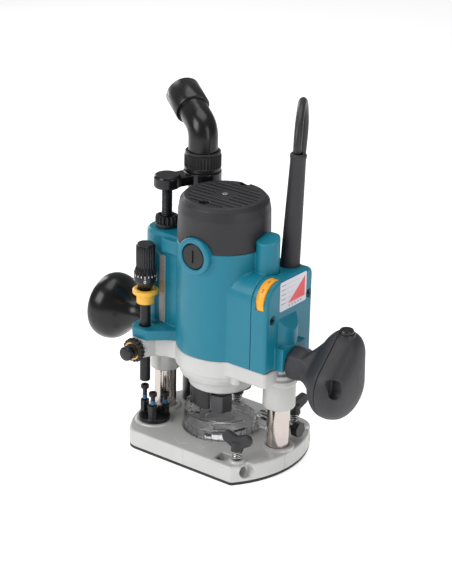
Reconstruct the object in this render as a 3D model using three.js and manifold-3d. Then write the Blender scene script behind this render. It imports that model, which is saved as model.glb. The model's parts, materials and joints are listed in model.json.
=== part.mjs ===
// Plunge router: a fixed base with two guide posts and a motor body that slides down on them.
// Units are millimetres. Z is up, the sole rests on z = 0, the switch handle points to +X,
// and the front, where the brush cap and the depth stop are seen, faces -Y.
// All the numbers below are measured from the spindle's axis; BASE_SHIFT then moves the whole
// router so that the middle of its box is over the origin.
import * as THREE from 'three';
import { mergeVertices } from 'three/addons/utils/BufferGeometryUtils.js';
import Module from 'manifold-3d';

const wasm = await Module();
wasm.setup();

// ---------- driving dimensions ----------
const BASE_SHIFT = { x: -1.25, y: -7.17 };
const GAP = 0.3; // running or assembly gap between neighbouring pieces

const SOLE_TOP = 2.4;
const BASE_FLOOR = 2.5;
const BASE_TOP = 19.5;
const BASE_HALF_X = 86;
const BASE_HALF_Y = 64.5;
const BASE_END_RADIUS = 100;
const BASE_CORNERS = { frontRight: 2, rearRight: 12, rearLeft: 8, frontLeft: 8 };
const POST_BOSS_R = 15.8;
const CUTTER_HOLE_R = 20;
const NOZZLE_WELL_R = 34.5;
const NOZZLE_WELL_FLOOR = 9;
const BOSS_TOP = 22;
const ROD_Y = 51;
const ROD_Z = 11;
const ROD_R = 5.1;
const FRONT_BOLT = { x: 58.5, y: -49.6 };
const REAR_RIGHT_BOLT = { x: 53.6, y: 49.6 };
const REAR_LEFT_BOLT = { x: -16.9, y: 50 };

const SCREW_Y = 23.8;
const SCREW_Z = 30;

const POST_X = 69.7;
const POST_R = 11;
const POST_BORE_R = 8;
const POST_FOOT = 4;
const POST_TOP = 106;
const SPRING_SEAT = 7;
const SLEEVE_FOOT = 63;
const SLEEVE_STEP = 88;
const SLEEVE_CEILING = 143;
const SLEEVE_TOP = 145;
const LEVER = { x: 69, z: 99 };

const THREAD_R = 5.4;
const THREAD_CORE_R = 4.8;
const THREAD_FOOT = 150;
const THREAD_TOP = 257.5;
const LIMIT_NUT_FOOT = 211.5;
const LIMIT_NUT_TOP = 222.8;

const MOTOR_R = 44.5;
const MOTOR_WALL = 3;
const BRACKET_FOOT = 90;
const BODY_FOOT = 108;
const CAP_FOOT = 216;
const CAP_TOP = 260;
const BRUSH_Z = 211.6;
const LOBE_R = 18.8;
const LOBE_TOP = 211;
const PILASTER_X = 51.5;
const PILASTER_R = 11.3;
const PILASTER_SLOPE = { height: 229, angle: 0.25 };
const COVER_SEAM_X = 58;
const COVER_FACE_X = 76;
const COVER_FRONT_Y = -33;
const COVER_BACK_Y = 40;
const COVER_TOP = 196.5;
const COVER_FOOT = 108;
const DIAL = { y: -15.5, z: 178.5, r: 18.4, x0: 63.5, x1: 72 };

const COLLAR_FOOT = 67.5;
const SPINDLE_R = 6;
const NUT_R = 11.8;
const NUT_FOOT = 37;
const NUT_TOP = 55;

const HANDLE_Z = 113;
const NECK_R = 16.6;
const HANDLE_SEAM_X = 131.5;
const TRIGGER = { y: 20, z: 108 };
const LOCK = { x: 137.5, y: 8.5 };
const KNOB_Z = 109;
const KNOB_R = 33.5;

const POLE = { x: -69, y: -32.5 };
const POLE_R = 5.25;
const POLE_FOOT = 59;
const HOLDER_FOOT = 88;
const SETTING_Z = 97;
const PLATFORM_TOP = 118;
const STOP_KNOB_FOOT = 158;
const STOP_KNOB_TOP = 203;

const TURRET = { x: -57.4, y: -32 };
const TURRET_R = 15.6;
const PILLAR_REACH = 11.6;
const STOP_BOLTS = [
  { angle: Math.atan2(-0.5, -11.6), pillar: 38, head: 54.2 },
  { angle: Math.atan2(-9.8, 6.2), pillar: 40, head: 54.2 },
  { angle: Math.atan2(10.1, 5.4), pillar: 34, head: 47 },
];

const PIPE = { x: -55, y: 36 };
const PIPE_R = 14;
const ARM_FOOT = 251;
const ARM_TOP = 263.5;
const ARM_RING_TOP = 262.2;
const COUPLING_FOOT = 262.6;
const COUPLING_TOP = 282;
const PIPE_TOP = 263;
const ELBOW_CORNER_Z = 304.5;
const CUFF = { from: 28, to: 56.5, r: 17.3 };
const OUTLET_WAY = new THREE.Vector3(-0.82, 0.45, 0.36).normalize();

const GUARD_FOOT = { x: 57.4, y: 27, z: 198 };
const GUARD_TOP = { x: 63.2, y: 27, z: 307.7 };
const CORD_R = 4;

// ---------- materials ----------
const paint = (color, roughness, metalness = 0) =>
  new THREE.MeshStandardMaterial({ color, roughness, metalness });
const TEAL = paint(0x0f86a3, 0.45);
const CHARCOAL = paint(0x3a3a3e, 0.6);
const BLACK = paint(0x111113, 0.4);
const CAST = paint(0xc9cac8, 0.5, 0.6);
const STEEL = paint(0xa79c94, 0.25, 1);
const BRIGHT = paint(0xd0d0d0, 0.2, 1);
const COPPER = paint(0xb06a3a, 0.4, 0.8);
const YELLOW = paint(0xf8b62d, 0.5);
const ORANGE = paint(0xf59a1d, 0.5);
const CLEAR = paint(0xdfe0ea, 0.1);
CLEAR.transparent = true;
CLEAR.opacity = 0.35;
const CARBON = paint(0x2a2a2a, 0.7);

// ---------- geometry helpers ----------
// A closed three.js geometry as a manifold solid, with its faces pointing out.
const solidOf = (geometry) => {
  const bare = geometry.clone();
  for (const name of Object.keys(bare.attributes)) {
    if (name !== 'position') bare.deleteAttribute(name);
  }
  const merged = mergeVertices(bare, 1e-4);
  const points = merged.attributes.position.array;
  const index = merged.index.array;
  const corner = (i) => new THREE.Vector3().fromArray(points, 3 * i);
  const triangles = [];
  let volume = 0;
  for (let i = 0; i < index.length; i += 3) {
    const [a, b, c] = index.slice(i, i + 3);
    if (a === b || b === c || c === a) continue;
    triangles.push(a, b, c);
    volume += corner(a).dot(corner(b).cross(corner(c)));
  }
  if (volume < 0) triangles.reverse();
  return new wasm.Manifold(new wasm.Mesh({
    numProp: 3,
    vertProperties: new Float32Array(points),
    triVerts: new Uint32Array(triangles),
  }));
};

const geometryOf = (solid) => {
  const mesh = solid.getMesh();
  const geometry = new THREE.BufferGeometry();
  geometry.setAttribute('position', new THREE.Float32BufferAttribute(mesh.vertProperties, 3));
  geometry.setIndex(Array.from(mesh.triVerts));
  return geometry;
};

const combine = (operation, first, others) =>
  geometryOf(others.reduce((solid, other) => solid[operation](solidOf(other)), solidOf(first)));
const join = (first, ...others) => combine('add', first, others);
const cut = (first, ...others) => combine('subtract', first, others);
const common = (first, ...others) => combine('intersect', first, others);

// A turned shape about Z from a closed profile of [radius, height] pairs.
const turned = (profile, segments = 24) => {
  const points = profile.map(([r, z]) => new THREE.Vector2(r, z));
  return new THREE.LatheGeometry(points, segments).rotateX(Math.PI / 2);
};
const drum = (r, z0, z1, segments = 24) =>
  turned([[0, z0], [r, z0], [r, z1], [0, z1]], segments);
const tube = (outer, inner, z0, z1, segments = 24) =>
  turned([[inner, z0], [outer, z0], [outer, z1], [inner, z1], [inner, z0]], segments);
const block = (x0, x1, y0, y1, z0, z1) =>
  new THREE.BoxGeometry(x1 - x0, y1 - y0, z1 - z0)
    .translate((x0 + x1) / 2, (y0 + y1) / 2, (z0 + z1) / 2);
const shapeOf = (corners) => new THREE.Shape(corners.map(([x, y]) => new THREE.Vector2(x, y)));
const plate = (shape, z0, z1, curveSegments = 6) =>
  new THREE.ExtrudeGeometry(shape, { depth: z1 - z0, bevelEnabled: false, curveSegments })
    .translate(0, 0, z0);
// A plate with its upper and lower edges chamfered by `edge`.
const softPlate = (shape, z0, z1, edge, curveSegments = 6) =>
  new THREE.ExtrudeGeometry(shape, {
    depth: z1 - z0 - 2 * edge, bevelThickness: edge, bevelSize: edge,
    bevelOffset: -edge, bevelSegments: 1, curveSegments,
  }).translate(0, 0, z0 + edge);
// Turns a shape built along +Z so that +Z becomes the named direction.
const TURNS = {
  '+X': (g) => g.rotateY(Math.PI / 2),
  '-X': (g) => g.rotateY(-Math.PI / 2),
  '+Y': (g) => g.rotateX(-Math.PI / 2),
  '-Y': (g) => g.rotateX(Math.PI / 2),
};
const along = (way, geometry) => TURNS[way](geometry);
const at = (x, y, z, geometry) => geometry.translate(x, y, z);
// A wheel outline with `teeth` ridges between two radii.
const ridged = (outer, inner, teeth) => {
  const corners = [];
  for (let i = 0; i < 2 * teeth; i += 1) {
    const angle = (Math.PI * (i + 0.5)) / teeth;
    const reach = i % 4 < 2 ? outer : inner;
    corners.push([reach * Math.cos(angle), reach * Math.sin(angle)]);
  }
  return shapeOf(corners);
};
const polygon = (r, sides, phase = 0) => shapeOf(Array.from({ length: sides }, (_, i) => {
  const angle = phase + (2 * Math.PI * i) / sides;
  return [r * Math.cos(angle), r * Math.sin(angle)];
}));
// A closed skin through rings of points, all rings with the same number of points.
const loft = (rings) => {
  const count = rings[0].length;
  const points = rings.flat();
  const triangles = [];
  const middle = (ring) => ring.reduce((sum, p) => sum.add(p), new THREE.Vector3())
    .divideScalar(count);
  const first = points.push(middle(rings[0])) - 1;
  const last = points.push(middle(rings.at(-1))) - 1;
  const end = (rings.length - 1) * count;
  for (let i = 0; i < count; i += 1) {
    const next = (i + 1) % count;
    triangles.push(first, next, i, last, end + i, end + next);
    for (let row = 0; row < end; row += count) {
      triangles.push(row + i, row + next, row + count + next);
      triangles.push(row + i, row + count + next, row + count + i);
    }
  }
  const geometry = new THREE.BufferGeometry().setFromPoints(points);
  geometry.setIndex(triangles);
  return geometry;
};

// ---------- the scene graph ----------
const router = new THREE.Group();
router.position.set(BASE_SHIFT.x, BASE_SHIFT.y, 0);
const add = (name, geometry, material, x = 0, y = 0, z = 0) => {
  const mesh = new THREE.Mesh(geometryOf(solidOf(geometry)), material);
  mesh.name = name;
  mesh.position.set(x, y, z);
  router.add(mesh);
};

// ---------- base ----------
// Two straight sides and two wide arcs for ends, with a rounded corner where they meet.
const baseOutline = (inset) => {
  const halfX = BASE_HALF_X - inset;
  const halfY = BASE_HALF_Y - inset;
  const radius = BASE_END_RADIUS - inset;
  const centre = halfX - radius;
  const sweep = Math.asin(halfY / radius);
  const cornerX = centre + radius * Math.cos(sweep);
  const { frontRight, rearRight, rearLeft, frontLeft } = BASE_CORNERS;
  const onEnd = (side, angle) => [side * (centre + radius * Math.cos(angle)),
    radius * Math.sin(angle)];
  const shape = new THREE.Shape();
  shape.absarc(centre, 0, radius, frontRight / radius - sweep, sweep - rearRight / radius);
  shape.quadraticCurveTo(cornerX, halfY, cornerX - rearRight, halfY);
  shape.lineTo(rearLeft - cornerX, halfY);
  shape.quadraticCurveTo(-cornerX, halfY, ...onEnd(-1, sweep - rearLeft / radius));
  shape.absarc(-centre, 0, radius, Math.PI - sweep + rearLeft / radius,
    Math.PI + sweep - frontLeft / radius);
  shape.quadraticCurveTo(-cornerX, -halfY, frontLeft - cornerX, -halfY);
  shape.lineTo(cornerX - frontRight, -halfY);
  shape.quadraticCurveTo(cornerX, -halfY, ...onEnd(1, frontRight / radius - sweep));
  return shape;
};

const baseCasting = () => {
  const bosses = [
    at(-POST_X, 0, 0, drum(POST_BOSS_R, BASE_TOP - 1, BOSS_TOP)),
    at(POST_X, 0, 0, drum(POST_BOSS_R, BASE_TOP - 1, BOSS_TOP)),
    at(TURRET.x, TURRET.y, 0, drum(18, BASE_TOP - 1, BASE_TOP + 1.5)),
    ...[FRONT_BOLT, REAR_RIGHT_BOLT, REAR_LEFT_BOLT].map((bolt) =>
      at(bolt.x, bolt.y, 0, drum(7.5, BASE_TOP - 1, BOSS_TOP - 0.5, 12))),
  ];
  const outside = common(
    join(softPlate(baseOutline(0), BASE_FLOOR, BASE_TOP, 1, 7), ...bosses),
    plate(baseOutline(0), 0, BOSS_TOP + 1, 7),
  );
  const pocket = cut(
    common(plate(baseOutline(6), 0, 14, 5), block(-100, 100, -40, 40, 0, 20)),
    drum(41, -1, 21),
    at(-POST_X, 0, 0, drum(16, -1, 21, 20)),
    at(POST_X, 0, 0, drum(16, -1, 21, 20)),
  );
  const guideRodHole = (side) => [
    at(0, side * ROD_Y, ROD_Z, along('+X', drum(ROD_R, -30, 95, 16))),
    block(36.6, 50, side * ROD_Y - 7, side * ROD_Y + 7, ROD_Z, 30),
    block(67, 95, side * ROD_Y - 5.5, side * ROD_Y + 5.5, ROD_Z + 1, 30),
    at(0, side * ROD_Y, ROD_Z + 1.5, along('+X', plate(polygon(7.2, 6, Math.PI / 6), 67, 95))),
  ];
  return cut(
    outside,
    pocket,
    drum(CUTTER_HOLE_R, 0, 30),
    drum(NOZZLE_WELL_R, NOZZLE_WELL_FLOOR, 30),
    at(-POST_X, 0, 0, drum(POST_R + GAP, POST_FOOT - GAP, 30)),
    at(POST_X, 0, 0, drum(POST_R + GAP, POST_FOOT - GAP, 30)),
    ...guideRodHole(1),
    ...guideRodHole(-1),
    ...[FRONT_BOLT, REAR_RIGHT_BOLT, REAR_LEFT_BOLT].map((bolt) =>
      at(bolt.x, bolt.y, 0, drum(3.3, ROD_Z, 30, 12))),
    at(TURRET.x, TURRET.y, 0, drum(3.3, 14.5, 30, 12)),
  );
};

const solePlate = () => {
  const screwHole = (x, y) => at(x, y, 0, turned([[0, -1], [5, -1], [2.2, 1.8], [0, 1.8]], 12));
  return cut(
    plate(baseOutline(0.4), 0, SOLE_TOP, 7),
    drum(CUTTER_HOLE_R - 3, -1, 4),
    ...[[-50, -50], [62, -38], [-62, 38], [50, 50]].map(([x, y]) => screwHole(x, y)),
  );
};

const guidePost = () => turned([
  [0, POST_FOOT], [POST_R, POST_FOOT], [POST_R, POST_TOP], [POST_BORE_R, POST_TOP],
  [POST_BORE_R, SPRING_SEAT], [0, SPRING_SEAT],
]);

// A wire wound round Z, and its two ends cut square to the wire.
const coilSpring = (radius, wire, z0, z1, turns, stepsPerTurn) => {
  class Helix extends THREE.Curve {
    getPoint(t) {
      const angle = 2 * Math.PI * turns * t;
      const height = z0 + wire + (z1 - z0 - 2 * wire) * t;
      return new THREE.Vector3(radius * Math.cos(angle), radius * Math.sin(angle), height);
    }
  }
  return new THREE.ExtrudeGeometry(polygon(wire, 4), {
    steps: turns * stepsPerTurn, bevelEnabled: false, extrudePath: new Helix(),
  });
};

const threadedRod = () => turned([[0, SPRING_SEAT + GAP], [THREAD_CORE_R, SPRING_SEAT + GAP],
  [THREAD_CORE_R, THREAD_FOOT], [THREAD_R, THREAD_FOOT + 1], [THREAD_R, THREAD_TOP],
  [0, THREAD_TOP]], 16);

const wingBolt = () => {
  const shank = drum(3, ROD_Z + ROD_R + GAP, 34, 10);
  const hub = turned([[0, 30.5], [6.2, 30.5], [5.2, 40], [0, 41]], 12);
  const wing = new THREE.Shape();
  wing.absarc(-9.5, 43, 6.2, Math.PI / 2, (5 * Math.PI) / 4);
  wing.lineTo(-4, 33);
  wing.lineTo(4, 33);
  wing.absarc(9.5, 43, 6.2, -Math.PI / 4, Math.PI / 2);
  wing.lineTo(0, 45.5);
  const blade = new THREE.ExtrudeGeometry(wing, {
    depth: 4, bevelThickness: 0.8, bevelSize: 0.8, bevelOffset: -0.8, bevelSegments: 1,
    curveSegments: 3,
  }).translate(0, 0, -2).rotateX(Math.PI / 2);
  return join(shank, hub, blade);
};

const dustNozzle = () => {
  const foot = BASE_TOP + GAP;
  const wall = turned([
    [34, foot], [37.5, foot], [37.5, foot + 1.6], [36, foot + 1.6], [36, 29.5], [34, 29.5],
    [34, foot],
  ], 30);
  const shield = common(tube(36, 34.2, 29, 39, 30), block(-60, 60, -60, -6, 28, 40));
  const lid = drum(35, 27.5, 29.5, 30);
  const outlet = block(-46, -30, -11, 11, foot, 29.5);
  const cap = cut(outlet, block(-50, -28, -9, 9, foot - 1, 27.5));
  const angle = Math.atan2(PIPE.y, PIPE.x) - Math.PI;
  const fin = block(-36.5, -34.5, -3, 9, 29, 41);
  const ear = cut(
    block(29.5, 42, SCREW_Y - 5, SCREW_Y + 5, foot, SCREW_Z + 5),
    at(0, SCREW_Y, SCREW_Z, along('+X', drum(2.3, 20, 60, 10))),
    drum(34.1, foot - 1, 27.5, 30),
  );
  const lockSlot = common(
    tube(33.3, 21.5, 26, 31, 30),
    plate(shapeOf([[0, 0], [-60, -22], [-60, -60], [26, -60]]), 26, 31),
  );
  return cut(
    join(wall, shield, lid, cap.rotateZ(angle), fin.rotateZ(angle + 0.75), ear),
    drum(13.8, 20, 35),
    lockSlot,
    block(-40, -30, -8.8, 8.8, foot - 0.5, 27.4).rotateZ(angle),
  );
};

// The nozzle's clamping screw passes behind the right post, and its ribbed head is past the post.
const thumbScrew = () => along('+X', join(
  drum(1.9, 34, 74, 10),
  drum(3.4, 42.4, 47, 10),
  plate(ridged(7.6, 7, 12), 72.5, 79.5),
));

const dustPipe = () => {
  const body = turned([
    [12, 20], [17, 20], [17, 58], [PIPE_R, 61], [PIPE_R, PIPE_TOP], [12, PIPE_TOP], [12, 20],
  ], 24);
  const mouth = block(8, 30, -9, 9, 19, 29).rotateZ(Math.atan2(-PIPE.y, -PIPE.x));
  const foot = block(-9, 9, 8, 19, 20, 30).rotateZ(0.2);
  return cut(join(body, cut(foot, drum(13, 19, 40))), mouth);
};

const dustArm = () => {
  const reach = Math.hypot(PIPE.x + POST_X, PIPE.y);
  const heading = Math.atan2(PIPE.y, PIPE.x + POST_X);
  const cap = turned([[0, ARM_FOOT], [12, ARM_FOOT], [13, ARM_FOOT + 1.5], [13, ARM_TOP - 2],
    [11.5, ARM_TOP], [0, ARM_TOP]], 24);
  const ring = at(reach, 0, 0, drum(18.5, ARM_FOOT, ARM_RING_TOP, 24));
  const bar = block(0, reach, -9.5, 9.5, ARM_FOOT + 1, ARM_RING_TOP - 0.7);
  return cut(
    join(cap, ring, bar),
    at(reach, 0, 0, drum(PIPE_R + GAP, 240, 270, 24)),
    drum(THREAD_R + GAP, 240, THREAD_TOP + GAP, 16),
  ).rotateZ(heading);
};

const couplingNut = () => cut(
  join(plate(ridged(18, 17.2, 24), COUPLING_FOOT, COUPLING_TOP - 3),
    turned([[0, COUPLING_TOP - 3], [17.3, COUPLING_TOP - 3], [16.5, COUPLING_TOP - 1.5],
      [16.5, COUPLING_TOP], [0, COUPLING_TOP]], 24)),
  drum(14.7, 250, 290, 24),
);

const dustElbow = () => {
  const corner = new THREE.Vector3(0, 0, ELBOW_CORNER_Z);
  const bend = 12;
  const upright = corner.clone().setZ(ELBOW_CORNER_Z - bend);
  const leaning = corner.clone().addScaledVector(OUTLET_WAY, bend);
  const path = new THREE.CurvePath();
  path.add(new THREE.LineCurve3(new THREE.Vector3(0, 0, PIPE_TOP + 0.5), upright));
  path.add(new THREE.QuadraticBezierCurve3(upright, corner, leaning));
  path.add(new THREE.LineCurve3(leaning, corner.clone().addScaledVector(OUTLET_WAY, CUFF.to - 21)));
  const pipe = (r, steps) => new THREE.ExtrudeGeometry(polygon(r, 14), {
    steps, bevelEnabled: false, extrudePath: path,
  });
  const turn = new THREE.Quaternion()
    .setFromUnitVectors(new THREE.Vector3(0, 0, 1), OUTLET_WAY);
  const onOutlet = (geometry) => geometry.applyQuaternion(turn).translate(0, 0, ELBOW_CORNER_Z);
  const cuff = onOutlet(turned([[0, CUFF.from], [CUFF.r, CUFF.from + 0.6],
    [CUFF.r, CUFF.to], [0, CUFF.to]], 24));
  return cut(join(pipe(14.4, 10), cuff), pipe(12, 10), onOutlet(drum(CUFF.r - 2, CUFF.from + 4, 62, 24)));
};

// ---------- depth stop ----------
const stopTurret = () => {
  const pillars = STOP_BOLTS.map(({ angle, pillar }) =>
    at(PILLAR_REACH * Math.cos(angle), PILLAR_REACH * Math.sin(angle), 0,
      cut(plate(polygon(4.6, 6), 24, pillar), drum(2.6, 25.5, pillar + 1, 8))));
  const disc = turned([[0, 21.4], [TURRET_R, 21.4], [TURRET_R, 25], [6, 26.5], [0, 26.5]]);
  const hub = drum(5, 26, 33, 16);
  const webs = STOP_BOLTS.map(({ angle }) =>
    block(2, PILLAR_REACH - 3, -1.5, 1.5, 25.5, 33).rotateZ(angle));
  return cut(join(disc, hub, ...webs, ...pillars), drum(2.6, 20, 40, 12));
};
const stopBolt = (head) => join(
  drum(2.2, 31, head - 3, 10),
  turned([[0, head - 4], [4, head - 4], [4, head - 0.6], [3.2, head], [0, head]], 12),
);

const stopPole = () => turned([[0, POLE_FOOT], [POLE_R - 0.8, POLE_FOOT],
  [POLE_R, POLE_FOOT + 0.8], [POLE_R, STOP_KNOB_FOOT + 3], [0, STOP_KNOB_FOOT + 3]], 16);
const stopKnob = () => cut(
  join(
    turned([[0, STOP_KNOB_FOOT], [6.6, STOP_KNOB_FOOT], [10.2, STOP_KNOB_FOOT + 5],
      [11.4, STOP_KNOB_FOOT + 8], [11.4, 175], [9, 180], [0, 180]], 20),
    plate(ridged(9.2, 8.7, 10), 179, STOP_KNOB_TOP - 1.5),
    drum(8.2, STOP_KNOB_TOP - 2, STOP_KNOB_TOP, 16),
  ),
  drum(POLE_R + GAP, STOP_KNOB_FOOT - 1, STOP_KNOB_FOOT + 3 + GAP, 16),
);
const depthPointer = () => turned([[POLE_R + GAP, 142], [8.7, 142], [8.7, 151], [12.6, 152.2],
  [12.6, 155.4], [10.8, 156.4], [8.2, 156.4], [POLE_R + GAP, 151.5], [POLE_R + GAP, 142]], 24);

// The knurled setting nut and the round button are coaxial, and point to the front.
const settingNut = () => along('-Y', cut(
  join(plate(ridged(12.1, 11.2, 14), 13, 20), drum(7, 19.5, 21.8, 16)),
  drum(4, 10, 25, 12),
));
const fastFeedButton = () => along('-Y', join(
  drum(3.6, 14.5, 27, 12),
  turned([[0, 26], [7.2, 26], [7.2, 29.8], [6.2, 31], [0, 31]], 16),
));

// ---------- motor body ----------
const HOLDER = [[-84, -12], [-81, -38], [-75, -43.5], [-63, -43.5], [-57, -31], [-46, -26],
  [-34, -25], [-34, -12]];
const PLATFORM = [[-84, -12], [-81, -38], [-75, -44.5], [-58, -44.5], [-47, -34], [-36, -25],
  [-34, -12]];
const lobeWeb = (z0, z1, grow = 0) => [
  at(-POST_X, 0, 0, drum(LOBE_R + grow, z0, z1, 32)),
  block(-POST_X, -30, -LOBE_R - grow, LOBE_R + grow, z0, z1),
];

const bracketCasting = () => {
  const top = BODY_FOOT - GAP;
  const rightArm = shapeOf([[20, -38], [32, -32.5], [74, -32.5], [76, -30], [76, 38], [72, 40],
    [20, 40]]);
  const solid = join(
    drum(MOTOR_R, BRACKET_FOOT, top, 36),
    turned([[0, COLLAR_FOOT], [30.5, COLLAR_FOOT], [31.5, COLLAR_FOOT + 1], [31.5, 76],
      [33.5, 78], [40, 80], [42, 86], [42, BRACKET_FOOT + 1], [0, BRACKET_FOOT + 1]], 32),
    ...lobeWeb(BRACKET_FOOT, top),
    plate(shapeOf(HOLDER), HOLDER_FOOT, top),
    plate(rightArm, BRACKET_FOOT + 3, top),
    at(-POST_X, 0, 0, drum(14.6, SLEEVE_FOOT, SLEEVE_STEP + 4)),
    at(POST_X, 0, 0, turned([[0, SLEEVE_FOOT], [15.1, SLEEVE_FOOT], [15.7, SLEEVE_FOOT + 0.8],
      [15.7, SLEEVE_STEP], [17, SLEEVE_STEP + 1], [17, 94], [15.6, 95.5], [15.6, 100],
      [0, 100]])),
    at(-POST_X, 0, 0, drum(13, SLEEVE_STEP, SLEEVE_TOP, 24)),
    at(POST_X, 0, 0, drum(13, SLEEVE_STEP, SLEEVE_TOP, 24)),
    at(36, -24, 0, drum(5.4, 84, 100, 14)),
    at(POLE.x, 0, SETTING_Z, along('-Y', drum(8, 40, 45.2, 16))),
  );
  const bore = (x) => at(x, 0, 0, drum(POST_R + 0.25, SLEEVE_FOOT - 1, SLEEVE_CEILING));
  return cut(
    solid,
    bore(-POST_X),
    bore(POST_X),
    at(-POST_X, 0, 0, drum(THREAD_R + 0.8, 140, 160, 16)),
    drum(17, COLLAR_FOOT + 3, 100, 24),
    drum(11, 60, 120, 24),
    drum(38, 96, 120, 28),
    at(POLE.x, POLE.y, 0, drum(POLE_R + GAP, 80, 120, 16)),
    at(POLE.x, 0, SETTING_Z, along('-Y', drum(4, -POLE.y, 60, 12))),
  );
};

// The right-hand box seen along X: its upper front edge is rounded widely, the rear one less.
const boxOutline = (inset, foot) => {
  const frontRound = 22 - inset;
  const backRound = 8 - inset;
  const shape = new THREE.Shape();
  shape.moveTo(COVER_FRONT_Y + inset, foot);
  shape.lineTo(COVER_BACK_Y - inset, foot);
  shape.absarc(COVER_BACK_Y - 8, COVER_TOP - 8, backRound, 0, Math.PI / 2);
  shape.absarc(COVER_FRONT_Y + 22, COVER_TOP - 22, frontRound, Math.PI / 2, Math.PI);
  return shape;
};
// Turns an outline drawn in (y, z) and extruded along Z so that it is extruded along X.
const acrossX = (geometry) => geometry.rotateY(Math.PI / 2).rotateX(Math.PI / 2);

// The round pilaster beside the cap, with its sloping top, grown all round by a clearance.
const pilaster = (grow) => cut(
  at(PILASTER_X, 0, 0, drum(PILASTER_R + grow, 190, 240, 20)),
  block(30, 70, -30, 30, 0, 30).rotateX(PILASTER_SLOPE.angle)
    .translate(0, 0, PILASTER_SLOPE.height + grow),
);

const motorHousing = () => {
  const boxBody = acrossX(plate(boxOutline(0, BODY_FOOT), 20, COVER_SEAM_X - GAP));
  const outside = join(
    drum(MOTOR_R, BODY_FOOT, CAP_FOOT - GAP, 40),
    ...lobeWeb(BODY_FOOT, LOBE_TOP - 2),
    ...lobeWeb(LOBE_TOP - 3, LOBE_TOP, -1.5),
    plate(shapeOf([[-60, -12], [-57, -20], [-55.5, -25], [-38, -25], [-36, -10]]), 196,
      LOBE_TOP - 2),
    plate(shapeOf(PLATFORM), BODY_FOOT, PLATFORM_TOP),
    boxBody,
    pilaster(0),
    at(0, 0, BRUSH_Z, along('-Y', turned([[0, 38], [18, 38], [18, 46.5], [16.8, 48], [0, 48]],
      28))),
    at(0, 0, BRUSH_Z, along('+Y', turned([[0, 38], [18, 38], [18, 46.5], [16.8, 48], [0, 48]],
      28))),
  );
  const brushHole = (way) => at(0, 0, BRUSH_Z, along(way, drum(13, 30, 60, 24)));
  return cut(
    outside,
    drum(MOTOR_R - MOTOR_WALL, BODY_FOOT - 1, 250, 36),
    acrossX(plate(boxOutline(3, BODY_FOOT - 5), 46.5, 70)),
    at(-POST_X, 0, 0, drum(13.3, BODY_FOOT - 1, SLEEVE_TOP + GAP, 24)),
    at(-POST_X, 0, 0, drum(THREAD_R + 0.8, 140, 220, 16)),
    at(POST_X, 0, 0, drum(13.3, BODY_FOOT - 1, SLEEVE_TOP + GAP, 24)),
    at(POLE.x, POLE.y, 0, drum(POLE_R + 0.6, BODY_FOOT - 5, 130, 16)),
    block(-68, -50, -LOBE_R - 1, -LOBE_R + 1, 118.5, 190),
    at(GUARD_FOOT.x, GUARD_FOOT.y, 0, drum(10.2, 180, 210, 20)),
    brushHole('-Y'),
    brushHole('+Y'),
  );
};

const scalePlate = () => block(-63, -56, -LOBE_R + 1 - 0.9, -LOBE_R + 0.7, 119.5, 189);

const switchCover = () => {
  const edge = 3;
  const shell = acrossX(new THREE.ExtrudeGeometry(boxOutline(0, COVER_FOOT), {
    depth: COVER_FACE_X - COVER_SEAM_X - edge, bevelThickness: edge, bevelSize: edge,
    bevelOffset: -edge, bevelSegments: 2, curveSegments: 6,
  }).translate(0, 0, COVER_SEAM_X));
  const square = common(shell, block(COVER_SEAM_X, 90, -60, 60, 90, 220));
  const slope = shapeOf([[COVER_FACE_X, 158], [85.5, 147], [95, 147], [95, 170], [70, 170]]);
  const bulge = cut(
    at(POST_X, 0, 0, drum(15.6, COVER_FOOT, 158)),
    plate(slope, -30, 30).rotateX(Math.PI / 2),
  );
  const flange = block(70, 85.4, -18.5, 18.5, COVER_FOOT, 131);
  return cut(
    join(square, bulge, flange),
    acrossX(plate(boxOutline(3, 90), 50, COVER_FACE_X - 3)),
    at(POST_X, 0, 0, drum(13.3, 90, SLEEVE_TOP + GAP, 24)),
    at(GUARD_FOOT.x, GUARD_FOOT.y, 0, drum(10.2, 180, 210, 20)),
    at(PILASTER_X, 0, 0, drum(PILASTER_R + GAP, 180, 210, 20)),
    at(0, DIAL.y, DIAL.z, along('+X', drum(DIAL.r + 0.5, DIAL.x0 - 0.5, DIAL.x1 + 0.5))),
  );
};
const speedDial = () => at(0, DIAL.y, DIAL.z, along('+X', cut(
  plate(ridged(DIAL.r, DIAL.r - 0.4, 24), DIAL.x0, DIAL.x1),
  drum(3.2, DIAL.x0 - 1, DIAL.x1 + 1, 12),
)));
const speedController = () => join(
  block(48, 57, -20, 8, 165, 190),
  block(49, 56, 8, 30, 168, 186),
  at(0, DIAL.y, DIAL.z, along('+X', drum(2.8, 56, 70, 10))),
);

const motorCap = () => {
  const shell = cut(
    turned([[0, CAP_FOOT], [44.5, CAP_FOOT], [43.8, 247], [42.2, 256], [38.5, CAP_TOP],
      [0, CAP_TOP]], 40),
    turned([[0, CAP_FOOT - 1], [41.4, CAP_FOOT - 1], [40.4, 248], [38, 256], [0, 256.5]], 32),
  );
  const bridge = drum(8, 252, CAP_TOP, 20);
  const slots = [];
  for (let y = -28; y <= 28; y += 7) {
    const reach = Math.sqrt(34 ** 2 - y ** 2);
    if (Math.abs(y) < 8) {
      slots.push(block(-reach, -10, y - 1.4, y + 1.4, 250, 265));
      slots.push(block(10, reach, y - 1.4, y + 1.4, 250, 265));
    } else {
      slots.push(block(-reach, reach, y - 1.4, y + 1.4, 250, 265));
    }
  }
  return cut(
    join(shell, bridge),
    ...slots,
    drum(3.4, 257.5, 265, 16),
    at(0, 0, BRUSH_Z, along('-Y', drum(18.3, 20, 60, 28))),
    at(0, 0, BRUSH_Z, along('+Y', drum(18.3, 20, 60, 28))),
    pilaster(GAP),
  );
};

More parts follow.
